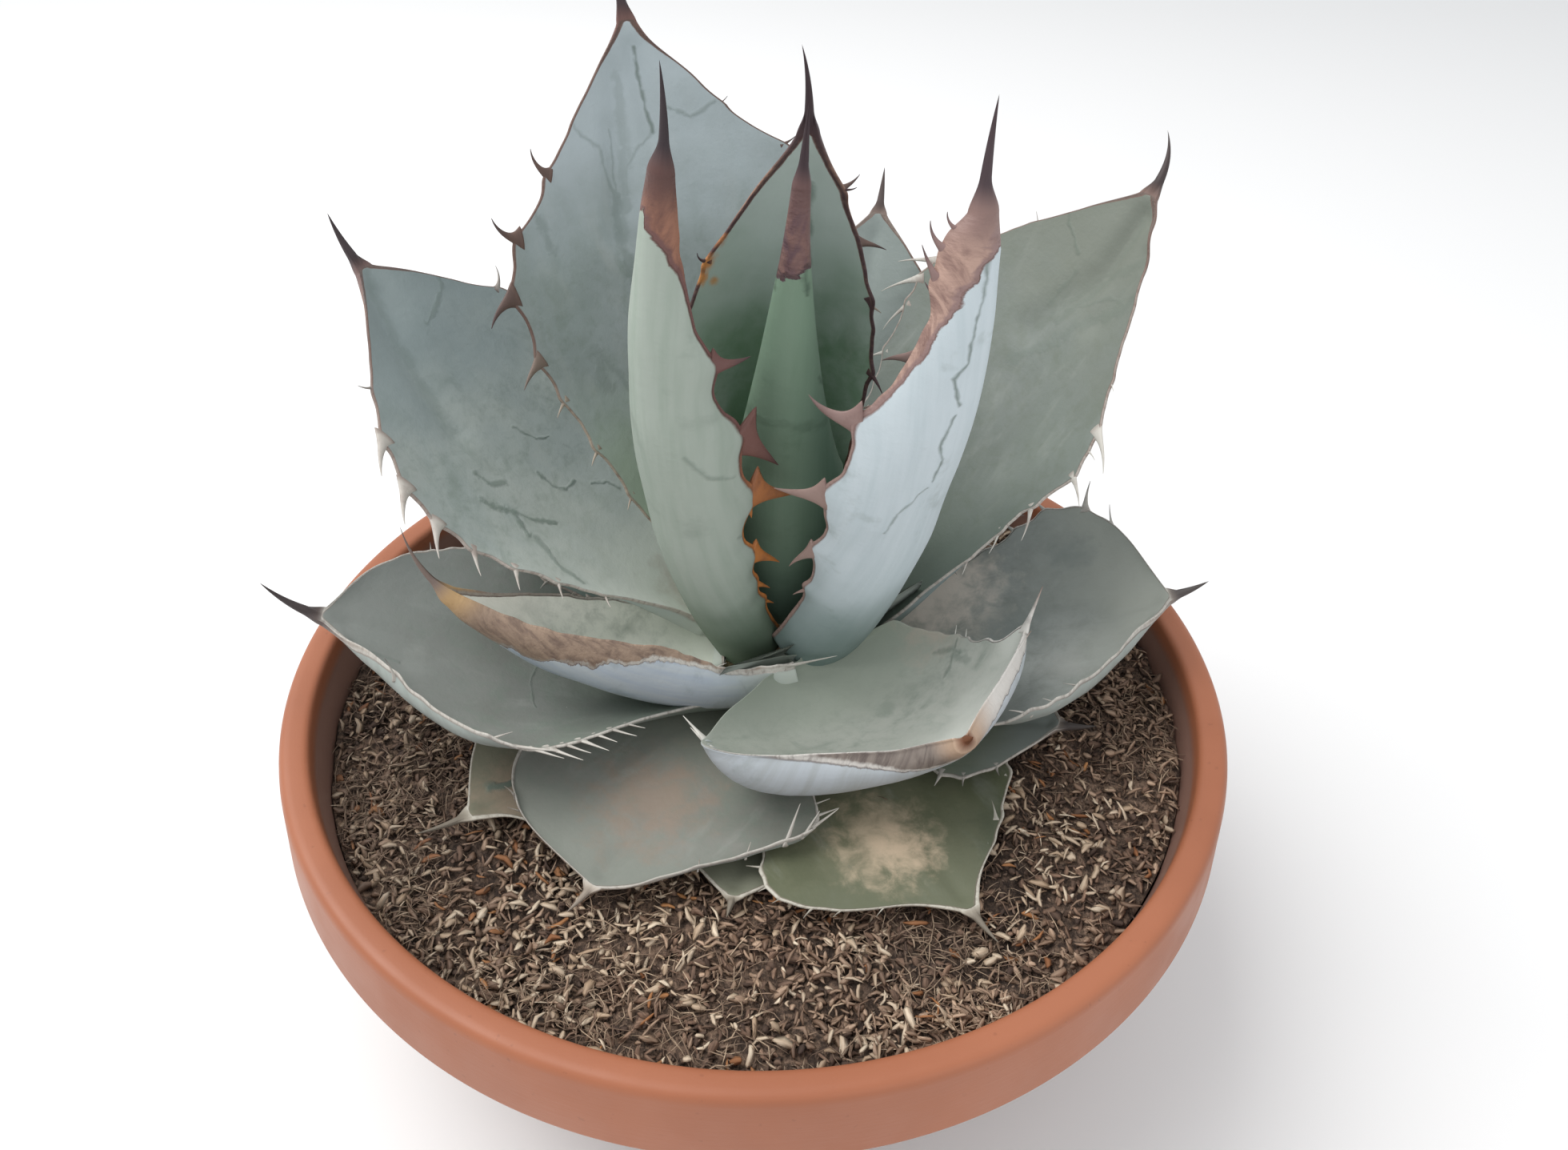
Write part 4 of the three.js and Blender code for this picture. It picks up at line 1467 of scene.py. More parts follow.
FRONT = LeafFinish(
    face=(166, 169, 161), tint=(154, 158, 149), foot=(148, 156, 144), back=(196, 204, 210),
    bloom=(202, 204, 197), spine=(112, 72, 50), spine_root=(178, 152, 130),
    horn_high=(206, 202, 196), horn_low=(202, 200, 192), patch=(140, 130, 122),
    patch_dark=(96, 86, 82), face_horn=Horn(-1, 1.2, 0.2, 0.5),
    back_horn=Horn(-0.2, 6.5, 0.6, 1), patch_left=(214, 210, 204),
    strokes=(
        Stroke(((30, 30), (34, 36), (35, 41)), 0.8, 0.5),
        Stroke(((25, 43), (32, 39), (37, 36)), 0.6, 0.5),
        Stroke(((33, 47), (34, 38)), 1.4, 0.35),
    ),
    blotches=(Blotch(40, 20, 22, (176, 162, 150), 0.6),),
)
PALE_EDGED = LeafFinish(
    face=(138, 146, 143), tint=(130, 138, 132), foot=(126, 136, 124), back=(158, 166, 161),
    bloom=(144, 152, 149), horn_high=(186, 182, 174), horn_low=(200, 196, 188),
    spine=(84, 78, 76),
    spine_root=(140, 130, 122), face_horn=Horn(0.6, 1.4, 0.8), patch=(172, 164, 154),
    patch_dark=(128, 118, 110), back_horn=Horn(0.6, 3, 0.8, 1.4),
)
LOW_LEFT = replace(
    PALE_EDGED, face=(126, 129, 124), tint=(118, 121, 115), bloom=(130, 134, 130),
    spine=(70, 62, 62), spine_root=(96, 84, 80),
    strokes=(
        shaded_fold((2, 150), (8, 128), (12, 104), strength=0.3, spread=6),
        Stroke(((-4, 146), (-8, 136), (-14, 126)), 0.6, 0.5),
        Stroke(((24, 62), (10, 64), (-4, 58)), 0.4, 0.4),
        Stroke(((-18, 132), (-25, 124)), 1, 0.55),
    ),
)
LOW_RIGHT = replace(
    PALE_EDGED, face=(150, 154, 150), tint=(136, 141, 136), foot=(138, 142, 132),
    rubbed=(116, 122, 114), bloom=(152, 155, 146),
    # The first, large blotch near the foot is a faded place, made paler as painted light where
    # the foot lies in shade.
    blotches=(
        Blotch(26, 30, 32, (210, 201, 190), 0.95), Blotch(4, 52, 14, (118, 126, 122), 0.5),
        Blotch(-20, 66, 12, (162, 163, 158), 0.5), Blotch(30, 78, 12, (118, 126, 122), 0.5),
    ),
)
LOW_FRONT = replace(
    PALE_EDGED, face=(133, 133, 127), tint=(122, 124, 116), foot=(112, 116, 104),
    bloom=(128, 132, 124), spine=(150, 138, 126), spine_root=(186, 176, 164),
    blotches=(Blotch(-3, 49, 26, (143, 125, 110), 0.7),),
)
OLD = LeafFinish(
    face=(116, 120, 103), tint=(100, 107, 86), foot=(104, 108, 90), back=(132, 138, 122),
    bloom=(120, 122, 106), rubbed=(88, 96, 74), spine=(124, 116, 104),
    spine_root=(168, 160, 146),
    horn_high=(196, 192, 180), horn_low=(196, 192, 180), face_horn=Horn(0.8, 1.4, 0.8),
    patch=(168, 158, 142), patch_dark=(128, 118, 104), back_horn=Horn(0.8, 3, 0.8, 1.4),
)
OLD_FRONT = replace(
    OLD, face=(108, 110, 88), tint=(92, 97, 74), bloom=(104, 108, 88),
    blotches=(
        Blotch(-10, 52, 21, (184, 168, 144), 0.9),
        Blotch(-7, 58, 13, (208, 186, 160), 0.7),
        Blotch(24, 66, 16, (80, 88, 70), 0.6), Blotch(-36, 50, 10, (84, 90, 68), 0.6),
    ),
)
OLD_LEFT = replace(
    OLD, face=(116, 120, 98), tint=(96, 104, 78), bloom=(122, 120, 104),
    blotches=(Blotch(2, 72, 22, (152, 136, 118), 0.8),),
    strokes=(Stroke(((-6, 80), (-3, 72)), 2, 0.9),),
)

LEAVES = (
    Leaf("leaf_01_bud", 262, 12, 276, out=5, foot_turn=180, up=130, lift=86, width=84,
         cup=(170, 170, 160), peak=0.36, base=0.8, taper=(0.8, 1.2), thick=(4, 3, 0.7),
         spine=20, curl=0, teeth=0, wave=0.3, fold=0, slot="young_leaf", finish=YOUNG),
    Leaf("leaf_02_centre_back", 88, 10, 281, out=8, up=128, lift=58, width=62,
         cup=(65, 50, 40), base=0.55, skew=0.26, thick=(8, 4, 2.5), spine=23, curl=-0.1,
         sway=0.1, thorn=0.5, slot="young_leaf", finish=CENTRE_BACK,
         right_teeth=((0.92, 6, 20, 30), (0.74, 6, -50, -50), (0.58, 7, -20, -30),
                      (0.44, 7, -25, -30), (0.3, 6, -30, -30)),
         left_teeth=((0.81, 5, 10, 80), (0.66, 7, -10, -30), (0.5, 7, -20, -30),
                     (0.34, 6, -30, -30))),
    Leaf("leaf_03_upright_left", 223, 44, 285, out=15, foot_turn=200, up=128, lift=58,
         width=46, cup=(80, 85, 75), peak=0.5, base=0.7, skew=-0.2, spine=23, curl=-0.12,
         thorn=0.45, finish=UPRIGHT_LEFT,
         right_teeth=((0.76, 8, 5, 30), (0.64, 12, -10, -30), (0.52, 13, -20, -25),
                      (0.4, 11, -25, -25), (0.28, 8, -30, -20)),
         stout=1.25,
         left_teeth=((0.73, 13, -15, 25), (0.585, 25, -50, -5), (0.445, 23, -35, 0),
                     (0.41, 8, -70, -30), (0.285, 15, -45, -20), (0.2, 8, -50, -20),
                     (0.14, 6, -50, -20))),
    Leaf("leaf_04_upright_right", 337, 45, 274, out=12, foot_turn=345, up=128, lift=58,
         width=63, cup=(80, 85, 75), peak=0.5, base=0.7, skew=-0.05, spine=26, curl=-0.05,
         thorn=0.5, finish=UPRIGHT_RIGHT,
         stout=1.15,
         right_teeth=((0.975, 8, 20, 75), (0.945, 12, 30, 60), (0.9, 12, 55, 15),
                      (0.655, 18, -15, 60), (0.48, 17, -25, 15), (0.32, 12, -50, -30),
                      (0.2, 5, -50, -20)),
         left_teeth=((0.8, 9, 10, 40), (0.66, 13, -10, -30), (0.52, 13, -20, -20),
                     (0.38, 10, -30, -20), (0.26, 7, -30, -20))),
    Leaf("leaf_05_tall_back", 125, 93, 291, out=17, up=122, lift=62, width=108,
         cup=(45, 20, 14), spine=22, finish=TALL, fold=0.6,
         right=((0.78, 44), (0.84, 30), (0.92, 16), (0.97, 6)),
         left=((0.3, 41), (0.6, 57), (0.7, 54), (0.78, 40), (0.88, 24), (0.96, 9)),
         right_teeth=((0.86, 2, 20, 20), (0.78, 4, 10, 20), (0.69, 10, 0, 40),
                      (0.6, 12, -15, -20), (0.5, 10, -25, -25), (0.4, 8, -30, -25),
                      (0.3, 6, -30, -25), (0.21, 4, -30, -20)),
         left_teeth=((0.8, 9, 25, 75), (0.72, 11, 5, 75), (0.64, 14, -10, -45),
                     (0.54, 11, -25, -25), (0.47, 5, -30, -20), (0.38, 5, -30, -20),
                     (0.29, 4, -30, -20), (0.2, 3, -30, -10))),
    Leaf("leaf_06_right", 31, 122, 250, out=20, up=120, lift=42, width=93,
         cup=(40, 18, 10), skew=0.32, spine=19, curl=0.1, sway=0.35, finish=BROAD_RIGHT,
         right=((0.2, 26), (0.4, 33), (0.54, 40), (0.62, 35), (0.72, 28), (0.86, 17)),
         stout=0.5,
         right_teeth=((0.7, 4, -30, 0), (0.61, 17, -20, -25), (0.57, 5, 0, -20),
                      (0.52, 12, -20, -15), (0.43, 11, -40, -30), (0.36, 7, -50, -30),
                      (0.28, 5, -40, -20)),
         left_teeth=((0.87, 2.5, 45, 0), (0.72, 17, -20, -15), (0.67, 16, -35, -20),
                     (0.61, 12, -60, -30), (0.5, 9, -40, -20), (0.38, 8, -40, -20),
                     (0.27, 6, -40, -20))),
    Leaf("leaf_07_left", 165, 132, 232, out=20, up=119, lift=33, width=108,
         cup=(40, 14, 10), skew=-0.08, spine=18, finish=BROAD_LEFT, stout=0.8,
         left=((0.02, 6), (0.06, 7), (0.12, 11), (0.2, 19), (0.3, 31)),
         right_teeth=((0.83, 8, 15, 60), (0.72, 11, -5, -20), (0.62, 13, -20, -25),
                      (0.52, 12, -25, -20), (0.42, 10, -30, -20), (0.32, 7, -35, -20),
                      (0.23, 5, -35, -15)),
         left_teeth=((0.84, 5, 10, 40), (0.77, 15, -15, -25), (0.69, 15, -15, -25),
                     (0.61, 14, -20, -20), (0.53, 9, -30, -20), (0.45, 8, -25, -15),
                     (0.37, 6, -25, -15), (0.28, 5, -25, -15))),
    Leaf("leaf_08_back_right", 77, 121, 221, out=22, up=118, lift=28, width=84,
         cup=(35, 16, 14), peak=0.62, base=0.4, bite=9, finish=BACK_RIGHT),
    Leaf("leaf_09_boat_left", 200, 103, 166, out=9, foot_turn=255, up=120, lift=-10,
         width=65, cup=(50, 88, 70), peak=0.5, base=0.7, skew=0.02, roll=(17, 15), spine=24,
         curl=0.35, finish=BOAT, thorn=0.45, stout=0.3,
         right=((0.05, 24), (0.2, 25), (0.4, 28), (0.6, 27), (0.8, 19)),
         left=((0.05, 26), (0.15, 25), (0.3, 27), (0.5, 30), (0.7, 24)),
         right_teeth=((0.7, 3, -20, -20), (0.55, 3, -30, -20), (0.4, 3, -30, -20)),
         left_teeth=((0.3, 3, -50, -20), (0.12, 21, -92, -6), (0.06, 19, -98, -4))),
    Leaf("leaf_10_front_right", 303, 84, 152, out=14, up=131, lift=-28, pull=0.6,
         width=120, cup=(52, 44, 36), peak=0.6, base=0.65, skew=0.03, roll=(7, 2),
         thick=(14, 12, 3.5), swell=5, spine=5, thorn=0.42, curl=0.3, fold=0.3,
         finish=FRONT, stout=0.6,
         right=((0.02, 16), (0.1, 28), (0.2, 45), (0.3, 54), (0.42, 58), (0.55, 56), (0.68, 42),
                (0.75, 30), (0.82, 19), (0.9, 10)),
         left=((0.01, 18), (0.1, 26), (0.25, 33), (0.4, 38), (0.6, 42), (0.7, 44),
               (0.78, 49), (0.84, 41), (0.9, 29), (0.95, 16)),
         right_teeth=((0.48, 9, -80, -8), (0.44, 10, -84, -6), (0.4, 13, -84, -4)),
         left_teeth=((0.84, 6, 20, 10), (0.785, 15, 5, -5), (0.5, 3, -30, 0), (0.42, 3, -30, 0))),
    Leaf("leaf_11_low_left", 190, 142, 148, out=23, up=112, lift=1, width=102,
         cup=(40, 30, 20), peak=0.62, skew=0.1, thick=(7, 4, 2.5), spine=20, curl=0.3,
         finish=LOW_LEFT, lips=(0, 7), lip_from=0.5, stout=0.55,
         right=((0.78, 39), (0.87, 32), (0.94, 20)),
         left=((0.65, 53), (0.76, 41), (0.88, 22), (0.95, 9)),
         right_teeth=((0.79, 3, 10, 10), (0.66, 8, -10, -20), (0.55, 9, -20, -20),
                      (0.44, 8, -25, -20), (0.33, 6, -30, -20)),
         left_teeth=((0.83, 6, 30, 20), (0.62, 6, -40, -10), (0.56, 13, -45, -10),
                     (0.52, 10, -45, -10), (0.48, 12, -40, -10), (0.44, 9, -40, -10),
                     (0.4, 11, -35, -5), (0.36, 8, -35, 0), (0.32, 9, -30, -20),
                     (0.28, 6, -30, -20))),
    Leaf("leaf_12_low_right", 0, 120, 145, out=23, up=112, width=100, cup=(35, 20, 14),
         peak=0.68, skew=0.2, thick=(7, 4, 2.5), spine=13, finish=LOW_RIGHT, lips=(7, 0),
         stout=0.65,
         right=((0.4, 46), (0.56, 47), (0.73, 35), (0.82, 26)),
         left=((0.75, 53), (0.82, 50), (0.9, 40), (0.95, 27)),
         right_teeth=((0.68, 4, -50, -20), (0.6, 3, -40, -20), (0.52, 5, -50, -20),
                      (0.4, 4, -45, -20), (0.3, 4, -45, -20)),
         left_teeth=((0.91, 9, 5, 10), (0.84, 13, 15, 15), (0.72, 8, -20, -15),
                     (0.6, 8, -30, -15), (0.48, 7, -30, -15), (0.36, 6, -30, -15))),
    Leaf("leaf_13_back", 106, 125, 186, out=23, up=112, lift=26, width=92, base=0.4,
         thick=(8, 4, 2.5), teeth=5, finish=BACK_RIGHT),
    Leaf("leaf_14_back_left", 148, 118, 164, out=23, up=111, lift=22, width=84, base=0.4,
         thick=(8, 4, 2.5), teeth=5),
    Leaf("leaf_15_back_right", 56, 112, 158, out=23, up=111, lift=22, width=76, base=0.4,
         thick=(8, 4, 2.5), teeth=5),
    Leaf("leaf_16_low_front", 240, 105, 111, out=24, up=110, lift=3, width=104,
         cup=(30, 10, 10), skew=-0.07, taper=(2, 1), thick=(5, 3, 2), spine=11,
         finish=LOW_FRONT, lips=(3, 3), stout=0.6, thorn=0.5,
         right=((0.8, 44), (0.88, 37), (0.95, 24)),
         left=((0.5, 43), (0.65, 34), (0.75, 26), (0.85, 19), (0.93, 12)),
         right_teeth=((0.91, 3.5, 35, 0), (0.88, 7, 10, 20), (0.7, 6, -20, -20),
                      (0.56, 7, -25, -20), (0.42, 6, -30, -20)),
         left_teeth=((0.78, 2, -20, 0), (0.66, 3, -30, -10), (0.55, 11, -35, -10),
                     (0.49, 8, -30, -10), (0.45, 10, -25, -10), (0.4, 7, -40, 0),
                     (0.36, 4, -50, 0))),
    Leaf("leaf_17_lowest_left", 215, 113, 107, out=24, up=105, lift=3, width=68,
         cup=(20, 6, 6), base=0.4, skew=-0.1, thick=(4, 2.5, 2), spine=17, slot="old_leaf",
         stout=0.6, thorn=0.5, finish=OLD_LEFT,
         right=((0.8, 30), (0.89, 23)), left=((0.8, 20), (0.9, 8)),
         right_teeth=((0.86, 4, 35, 0), (0.7, 5, -20, -20), (0.55, 6, -30, -20)),
         left_teeth=((0.72, 5, -20, -20), (0.58, 6, -30, -20))),
    Leaf("leaf_18_lowest_front", 299, 106, 108, out=24, up=107, lift=3, width=84,
         cup=(20, 6, 6), base=0.4, skew=-0.08, thick=(4, 2.5, 2), spine=13, slot="old_leaf",
         stout=0.8, thorn=0.5, finish=OLD_FRONT, right=((0.64, 48), (0.83, 32), (0.92, 13)),
         left=((0.58, 39), (0.72, 28), (0.84, 17), (0.92, 8)),
         right_teeth=((0.57, 4, -30, 0), (0.64, 3, 0, 10), (0.7, 2.5, 0, 10),
                      (0.77, 3.5, 20, 10), (0.82, 2.5, 10, 10), (0.87, 2.5, 20, 10)),
         left_teeth=((0.82, 4, -60, -10), (0.75, 6, -60, -10), (0.6, 5, -40, -20),
                     (0.45, 5, -40, -20))),
    Leaf("leaf_19_lowest_right", 338, 90, 120, out=24, up=108, lift=6, width=60,
         cup=(20, 8, 8), base=0.4, thick=(4, 2.5, 2), spine=12, bite=7, teeth=6,
         finish=replace(PALE_EDGED, face=(126, 133, 116), tint=(112, 120, 98))),
    Leaf("leaf_20_lowest_middle", 261, 91, 106.5, out=24, up=105, lift=1, width=52,
         cup=(20, 6, 6), base=0.4, thick=(3, 1.5, 1), spine=8, bite=5, teeth=5,
         slot="old_leaf", finish=OLD),
    Leaf("leaf_21_lowest_back", 74, 118, 134, out=24, up=108, lift=10, width=78,
         cup=(25, 12, 10), base=0.4, thick=(5, 3, 2), teeth=5, finish=PALE_EDGED),
    Leaf("leaf_22_lowest_back_left", 124, 122, 118, out=24, up=106, lift=3, width=80,
         cup=(25, 12, 10), base=0.4, thick=(5, 3, 2), teeth=5, finish=PALE_EDGED),
    Leaf("leaf_23_lowest_back_right", 24, 104, 114, out=24, up=107, lift=1, width=62,
         cup=(20, 8, 8), base=0.4, thick=(4, 2.5, 2), bite=6, teeth=5, finish=PALE_EDGED),
    Leaf("leaf_24_lowest_far_left", 166, 112, 113, out=24, up=106, lift=1, width=66,
         cup=(20, 8, 8), base=0.4, thick=(4, 2.5, 2), bite=6, teeth=5, finish=PALE_EDGED),
)


# Bowl, soil and stem.


def revolved(profile: Array, segments: int, middle: Pair = (0.0, 0.0)) -> Skin:
    """Turns a half profile about an upright line.

    Args:
        profile: (radius, height) pairs from the underside's middle round the outside, up
            and back to the axis, so that the skin is closed.
        segments: the number of steps round the axis.
        middle: where the axis stands.

    Returns:
        The skin.
    """
    turn = np.arange(segments) / segments * 2 * math.pi
    radius, height = profile[1:-1, :1], profile[1:-1, 1:]
    x = middle[0] + radius * np.cos(turn)
    y = middle[1] + radius * np.sin(turn)
    rings = np.stack([x, y, np.broadcast_to(height, x.shape)], axis=-1)
    near, far = (np.array([*middle, z]) for z in profile[[0, -1], 1])
    return closed_tube(rings, {}, near, far)


def rounded(corners: list[Triple]) -> Array:
    """A profile whose corners are rounded.

    Args:
        corners: (radius, height, rounding) for each corner.

    Returns:
        (radius, height) pairs. A rounding is a curve through three points: the two where it
        leaves the straight sides, and the corner that pulls it.
    """
    t = np.linspace(0.0, 1.0, 6)[:, None]
    spots = np.array([c[:2] for c in corners])
    out = [spots[:1]]
    for before, here, after, corner in zip(spots, spots[1:], spots[2:], corners[1:]):
        size = corner[2]
        if size <= 0.0:
            out.append(here[None])
            continue
        first = here + unit(before - here) * min(size, np.linalg.norm(before - here) * 0.49)
        last = here + unit(after - here) * min(size, np.linalg.norm(after - here) * 0.49)
        out.append((1 - t) ** 2 * first + 2 * t * (1 - t) * here + t**2 * last)
    out.append(spots[-1:])
    return np.concatenate(out)


@dataclass(frozen=True)
class ClayFinish:
    """Moulded, terracotta-coloured and matt, with faint clouds and specks.

    Inside the mouth, below the lip, the wall is darkened: partly a stain from the soil and
    partly painted shade of the recess. The sizes here are in metres, as the place on the object
    is: the mouth's radius, how softly the darkening ends at it, the height of the lip's lower
    edge, and how far the darkening fades above that.
    """

    top: Colour = (168, 104, 74)
    cloud: Colour = (159, 97, 68)
    speck: Colour = (130, 79, 57)
    soil_stain_and_shade: Colour = (138, 110, 100)
    mouth_radius: float = 0.1398
    mouth_fade: float = 0.0006
    lip_height: float = 0.1165
    lip_fade: float = 0.006

    def material(self) -> bpy.types.Material:
        """Returns the material of the bowl."""
        g = Graph("finish_bowl")
        place = g.place()
        clouds = g.ease(g.noise(place, 14.0, 4.0, 0.6), 0.35, 0.7)
        colour = g.blend(clouds, self.top, self.cloud)
        specks = g.ease(g.noise(place, 420.0, 2.0, 0.5), 0.68, 0.76, 0.0, 0.35)
        colour = g.blend(specks, colour, self.speck)
        # Inside the mouth, below the lip: soil stain and painted shade of the recess.
        x, y, z = (g.part(place, axis) for axis in range(3))
        out = g.math("SQRT", g.plus(g.times(x, x), g.times(y, y)))
        inside = g.ease(out, self.mouth_radius - self.mouth_fade, self.mouth_radius, 1.0, 0.0)
        height = g.plus(z, g.times(g.noise(place, 45.0, 4.0), 0.008))
        low = g.ease(height, self.lip_height, self.lip_height + self.lip_fade, 0.85, 0.0)
        colour = g.blend(g.times(inside, low), colour, self.soil_stain_and_shade)
        streaks = g.noise(g.scaled(place, (60.0, 60.0, 900.0)), 1.0, 3.0, 0.55)
        grain = g.plus(g.times(g.noise(place, 1600.0, 2.0), 0.5), streaks)
        rough = g.ease(g.noise(place, 60.0, 3.0), 0.3, 0.7, 0.42, 0.52)
        return g.finish(colour, rough, g.bump(grain, 0.05), 0.45)


@dataclass
class Bowl:
    """The wide bowl with its band under the rim."""

    height: float = 120.0
    foot_radius: float = 92.0
    body_radius: float = 142.0
    band_radius: float = 151.0
    band_height: float = 24.0
    ridge_radius: float = 148.0
    mouth_radius: float = 140.0
    rim_drop: float = 1.0
    wall: float = 4.5
    floor: float = 5.0
    segments: int = 300
    drain_count: int = 6
    drain_ring: float = 55.0
    drain_radius: float = 6.0
    finish: ClayFinish = ClayFinish()

    def body_radius_at(self, z: Array) -> Array:
        """Returns the body's outer radius: a quarter wave from the foot to the band."""
        t = np.clip(z / (self.height - self.band_height), 0.0, 1.0)
        return mix(self.foot_radius, self.body_radius, np.sin(t * math.pi / 2) ** 0.9)

    def inner_radius_at(self, z: Array) -> Array:
        """Returns the radius of the wall's inside."""
        return np.minimum(self.body_radius_at(z) - self.wall, self.mouth_radius - 1.0)

    def build(self) -> Piece:
        """Turns the bowl and drills its drain holes.

        Returns:
            The piece.
        """
        steps = 22
        bottom = self.height - self.band_height
        top = self.height - self.rim_drop
        rise = np.linspace(4.0, bottom - 3.0, steps)
        fall = np.linspace(bottom + 8.0, self.floor + 6.0, steps)
        outside = [(float(r), float(z), 0.0) for r, z in zip(self.body_radius_at(rise), rise)]
        inside = [(float(r), float(z), 0.0) for r, z in zip(self.inner_radius_at(fall), fall)]
        floor_radius = float(self.inner_radius_at(np.array(self.floor)))
        profile = rounded([
            (0.0, 0.0, 0.0),
            (self.foot_radius - 12.0, 0.0, 0.0),
            (self.foot_radius + 0.6, 0.0, 2.5),
            *outside,
            (self.body_radius, bottom, 1.5),
            (self.band_radius, bottom, 1.6),
            (self.ridge_radius + 0.3, self.height, 3.4),
            (self.mouth_radius, top, 2.2),
            (self.mouth_radius - 0.6, top - 7.0, 2.0),
            *inside,
            (floor_radius - 2.0, self.floor, 5.0),
            (30.0, self.floor, 0.0),
            (0.0, self.floor, 0.0),
        ])
        piece = revolved(profile, self.segments).to_object("bowl_piece", self.finish.material())
        self.drill(piece)
        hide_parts("bowl")
        return piece

    def drill(self, piece: Piece) -> None:
        """Cuts the drain holes through the floor.

        Args:
            piece: the bowl, which gets a new mesh.
        """
        low, high = -5.0, self.floor + 5.0
        pin = np.array([(0.0, low), (self.drain_radius, low), (self.drain_radius, high),
                        (0.0, high)])
        pins = []
        for k in range(self.drain_count):
            turn = (k + 0.5) / self.drain_count * 2 * math.pi
            spot = (self.drain_ring * math.cos(turn), self.drain_ring * math.sin(turn))
            pins.append(revolved(pin, 32, spot))
        joined = Skin.joined(pins)
        mesh = bpy.data.meshes.new("drain")
        faces = [tuple(dict.fromkeys(quad)) for quad in joined.quads.tolist()]
        mesh.from_pydata((joined.points * MM).tolist(), [], faces)
        cutter = bpy.data.objects.new("drain", mesh)
        bpy.context.scene.collection.objects.link(cutter)
        cut = piece.modifiers.new("drain", "BOOLEAN")
        cut.operation = "DIFFERENCE"
        cut.solver = "EXACT"
        cut.object = cutter
        evaluated = piece.evaluated_get(bpy.context.evaluated_depsgraph_get())
        finished = bpy.data.meshes.new_from_object(evaluated)
        piece.modifiers.clear()
        piece.data = finished
        bpy.data.objects.remove(cutter)
        bpy.data.meshes.remove(mesh)


@dataclass(frozen=True)
class SoilFinish:
    """Crumbled compost: dark hollows, and paler grains and fibres."""

    dark: Colour = (74, 62, 55)
    light: Colour = (158, 132, 113)
    fibre: Colour = (146, 122, 104)
    damp: Colour = (48, 41, 39)

    def material(self) -> bpy.types.Material:
        """Returns the material of the soil's body."""
        g = Graph("finish_soil")
        place = g.place()
        grains = g.noise(place, 420.0, 5.0, 0.7)
        fibres = g.noise(g.scaled(place, (900.0, 260.0, 400.0)), 1.0, 4.0, 0.7, 1.2)
        colour = g.blend(g.ease(grains, 0.4, 0.66), self.dark, self.light)
        colour = g.blend(g.ease(fibres, 0.5, 0.7, 0.0, 0.7), colour, self.fibre)
        damp = g.ease(g.noise(place, 22.0, 3.0), 0.4, 0.62, 0.0, 0.6)
        colour = g.blend(damp, colour, self.damp)
        return g.finish(colour, 0.9, g.bump(g.plus(grains, fibres), 1.4), 0.2)


@dataclass(frozen=True)
class ChipFinish:
    """Husks and bark flakes: a colour for each, streaked along its length.

    Towards the left they are darkened as painted shade, and in patches elsewhere as if damp.
    """

    name: str
    pale: Colour
    deep: Colour
    roughness: float = 0.75
    # The colour of the damp patches, also used for the painted shade towards the left.
    damp: Colour = (70, 58, 52)

    def material(self) -> bpy.types.Material:
        """Returns the material of one kind of flake."""
        g = Graph("finish_" + self.name)
        colour = g.blend(g.carried("tint"), self.deep, self.pale)
        place = g.place()
        # Damp patches, and painted shade towards the left, both take the damp colour.
        patchy = g.ease(g.noise(place, 24.0, 3.0), 0.42, 0.66, 0.0, 0.32)
        shaded = g.ease(g.part(place, 0), -0.12, -0.02, 0.62, 0.0)
        colour = g.blend(g.larger(patchy, shaded), colour, self.damp)
        along = g.scaled(g.carried("flat", "Vector"), (26.0, 3.0, 1.0))
        streaks = g.noise(along, 1.0, 3.0, 0.6)
        colour = g.blend(g.ease(streaks, 0.42, 0.62, 0.0, 0.5), colour, self.deep)
        return g.finish(colour, self.roughness, g.bump(streaks, 0.15), 0.3)


@dataclass(frozen=True)
class ChipKind:
    """One kind of flake in the soil's top layer, with its sizes in millimetres.

    length, width and rise above the soil are each a least and a most. arch is the usual
    height of its hump as a share of its length, and bend the usual share by which it bends
    sideways. tilt is the usual slope in degrees. drift is how unevenly the flakes lie.
    """

    name: str
    count: int
    length: Pair
    width: Pair
    thickness: float
    arch: float
    tilt: float
    rise: Pair
    finish: ChipFinish
    bend: float = 0.15
    drift: float = 0.5


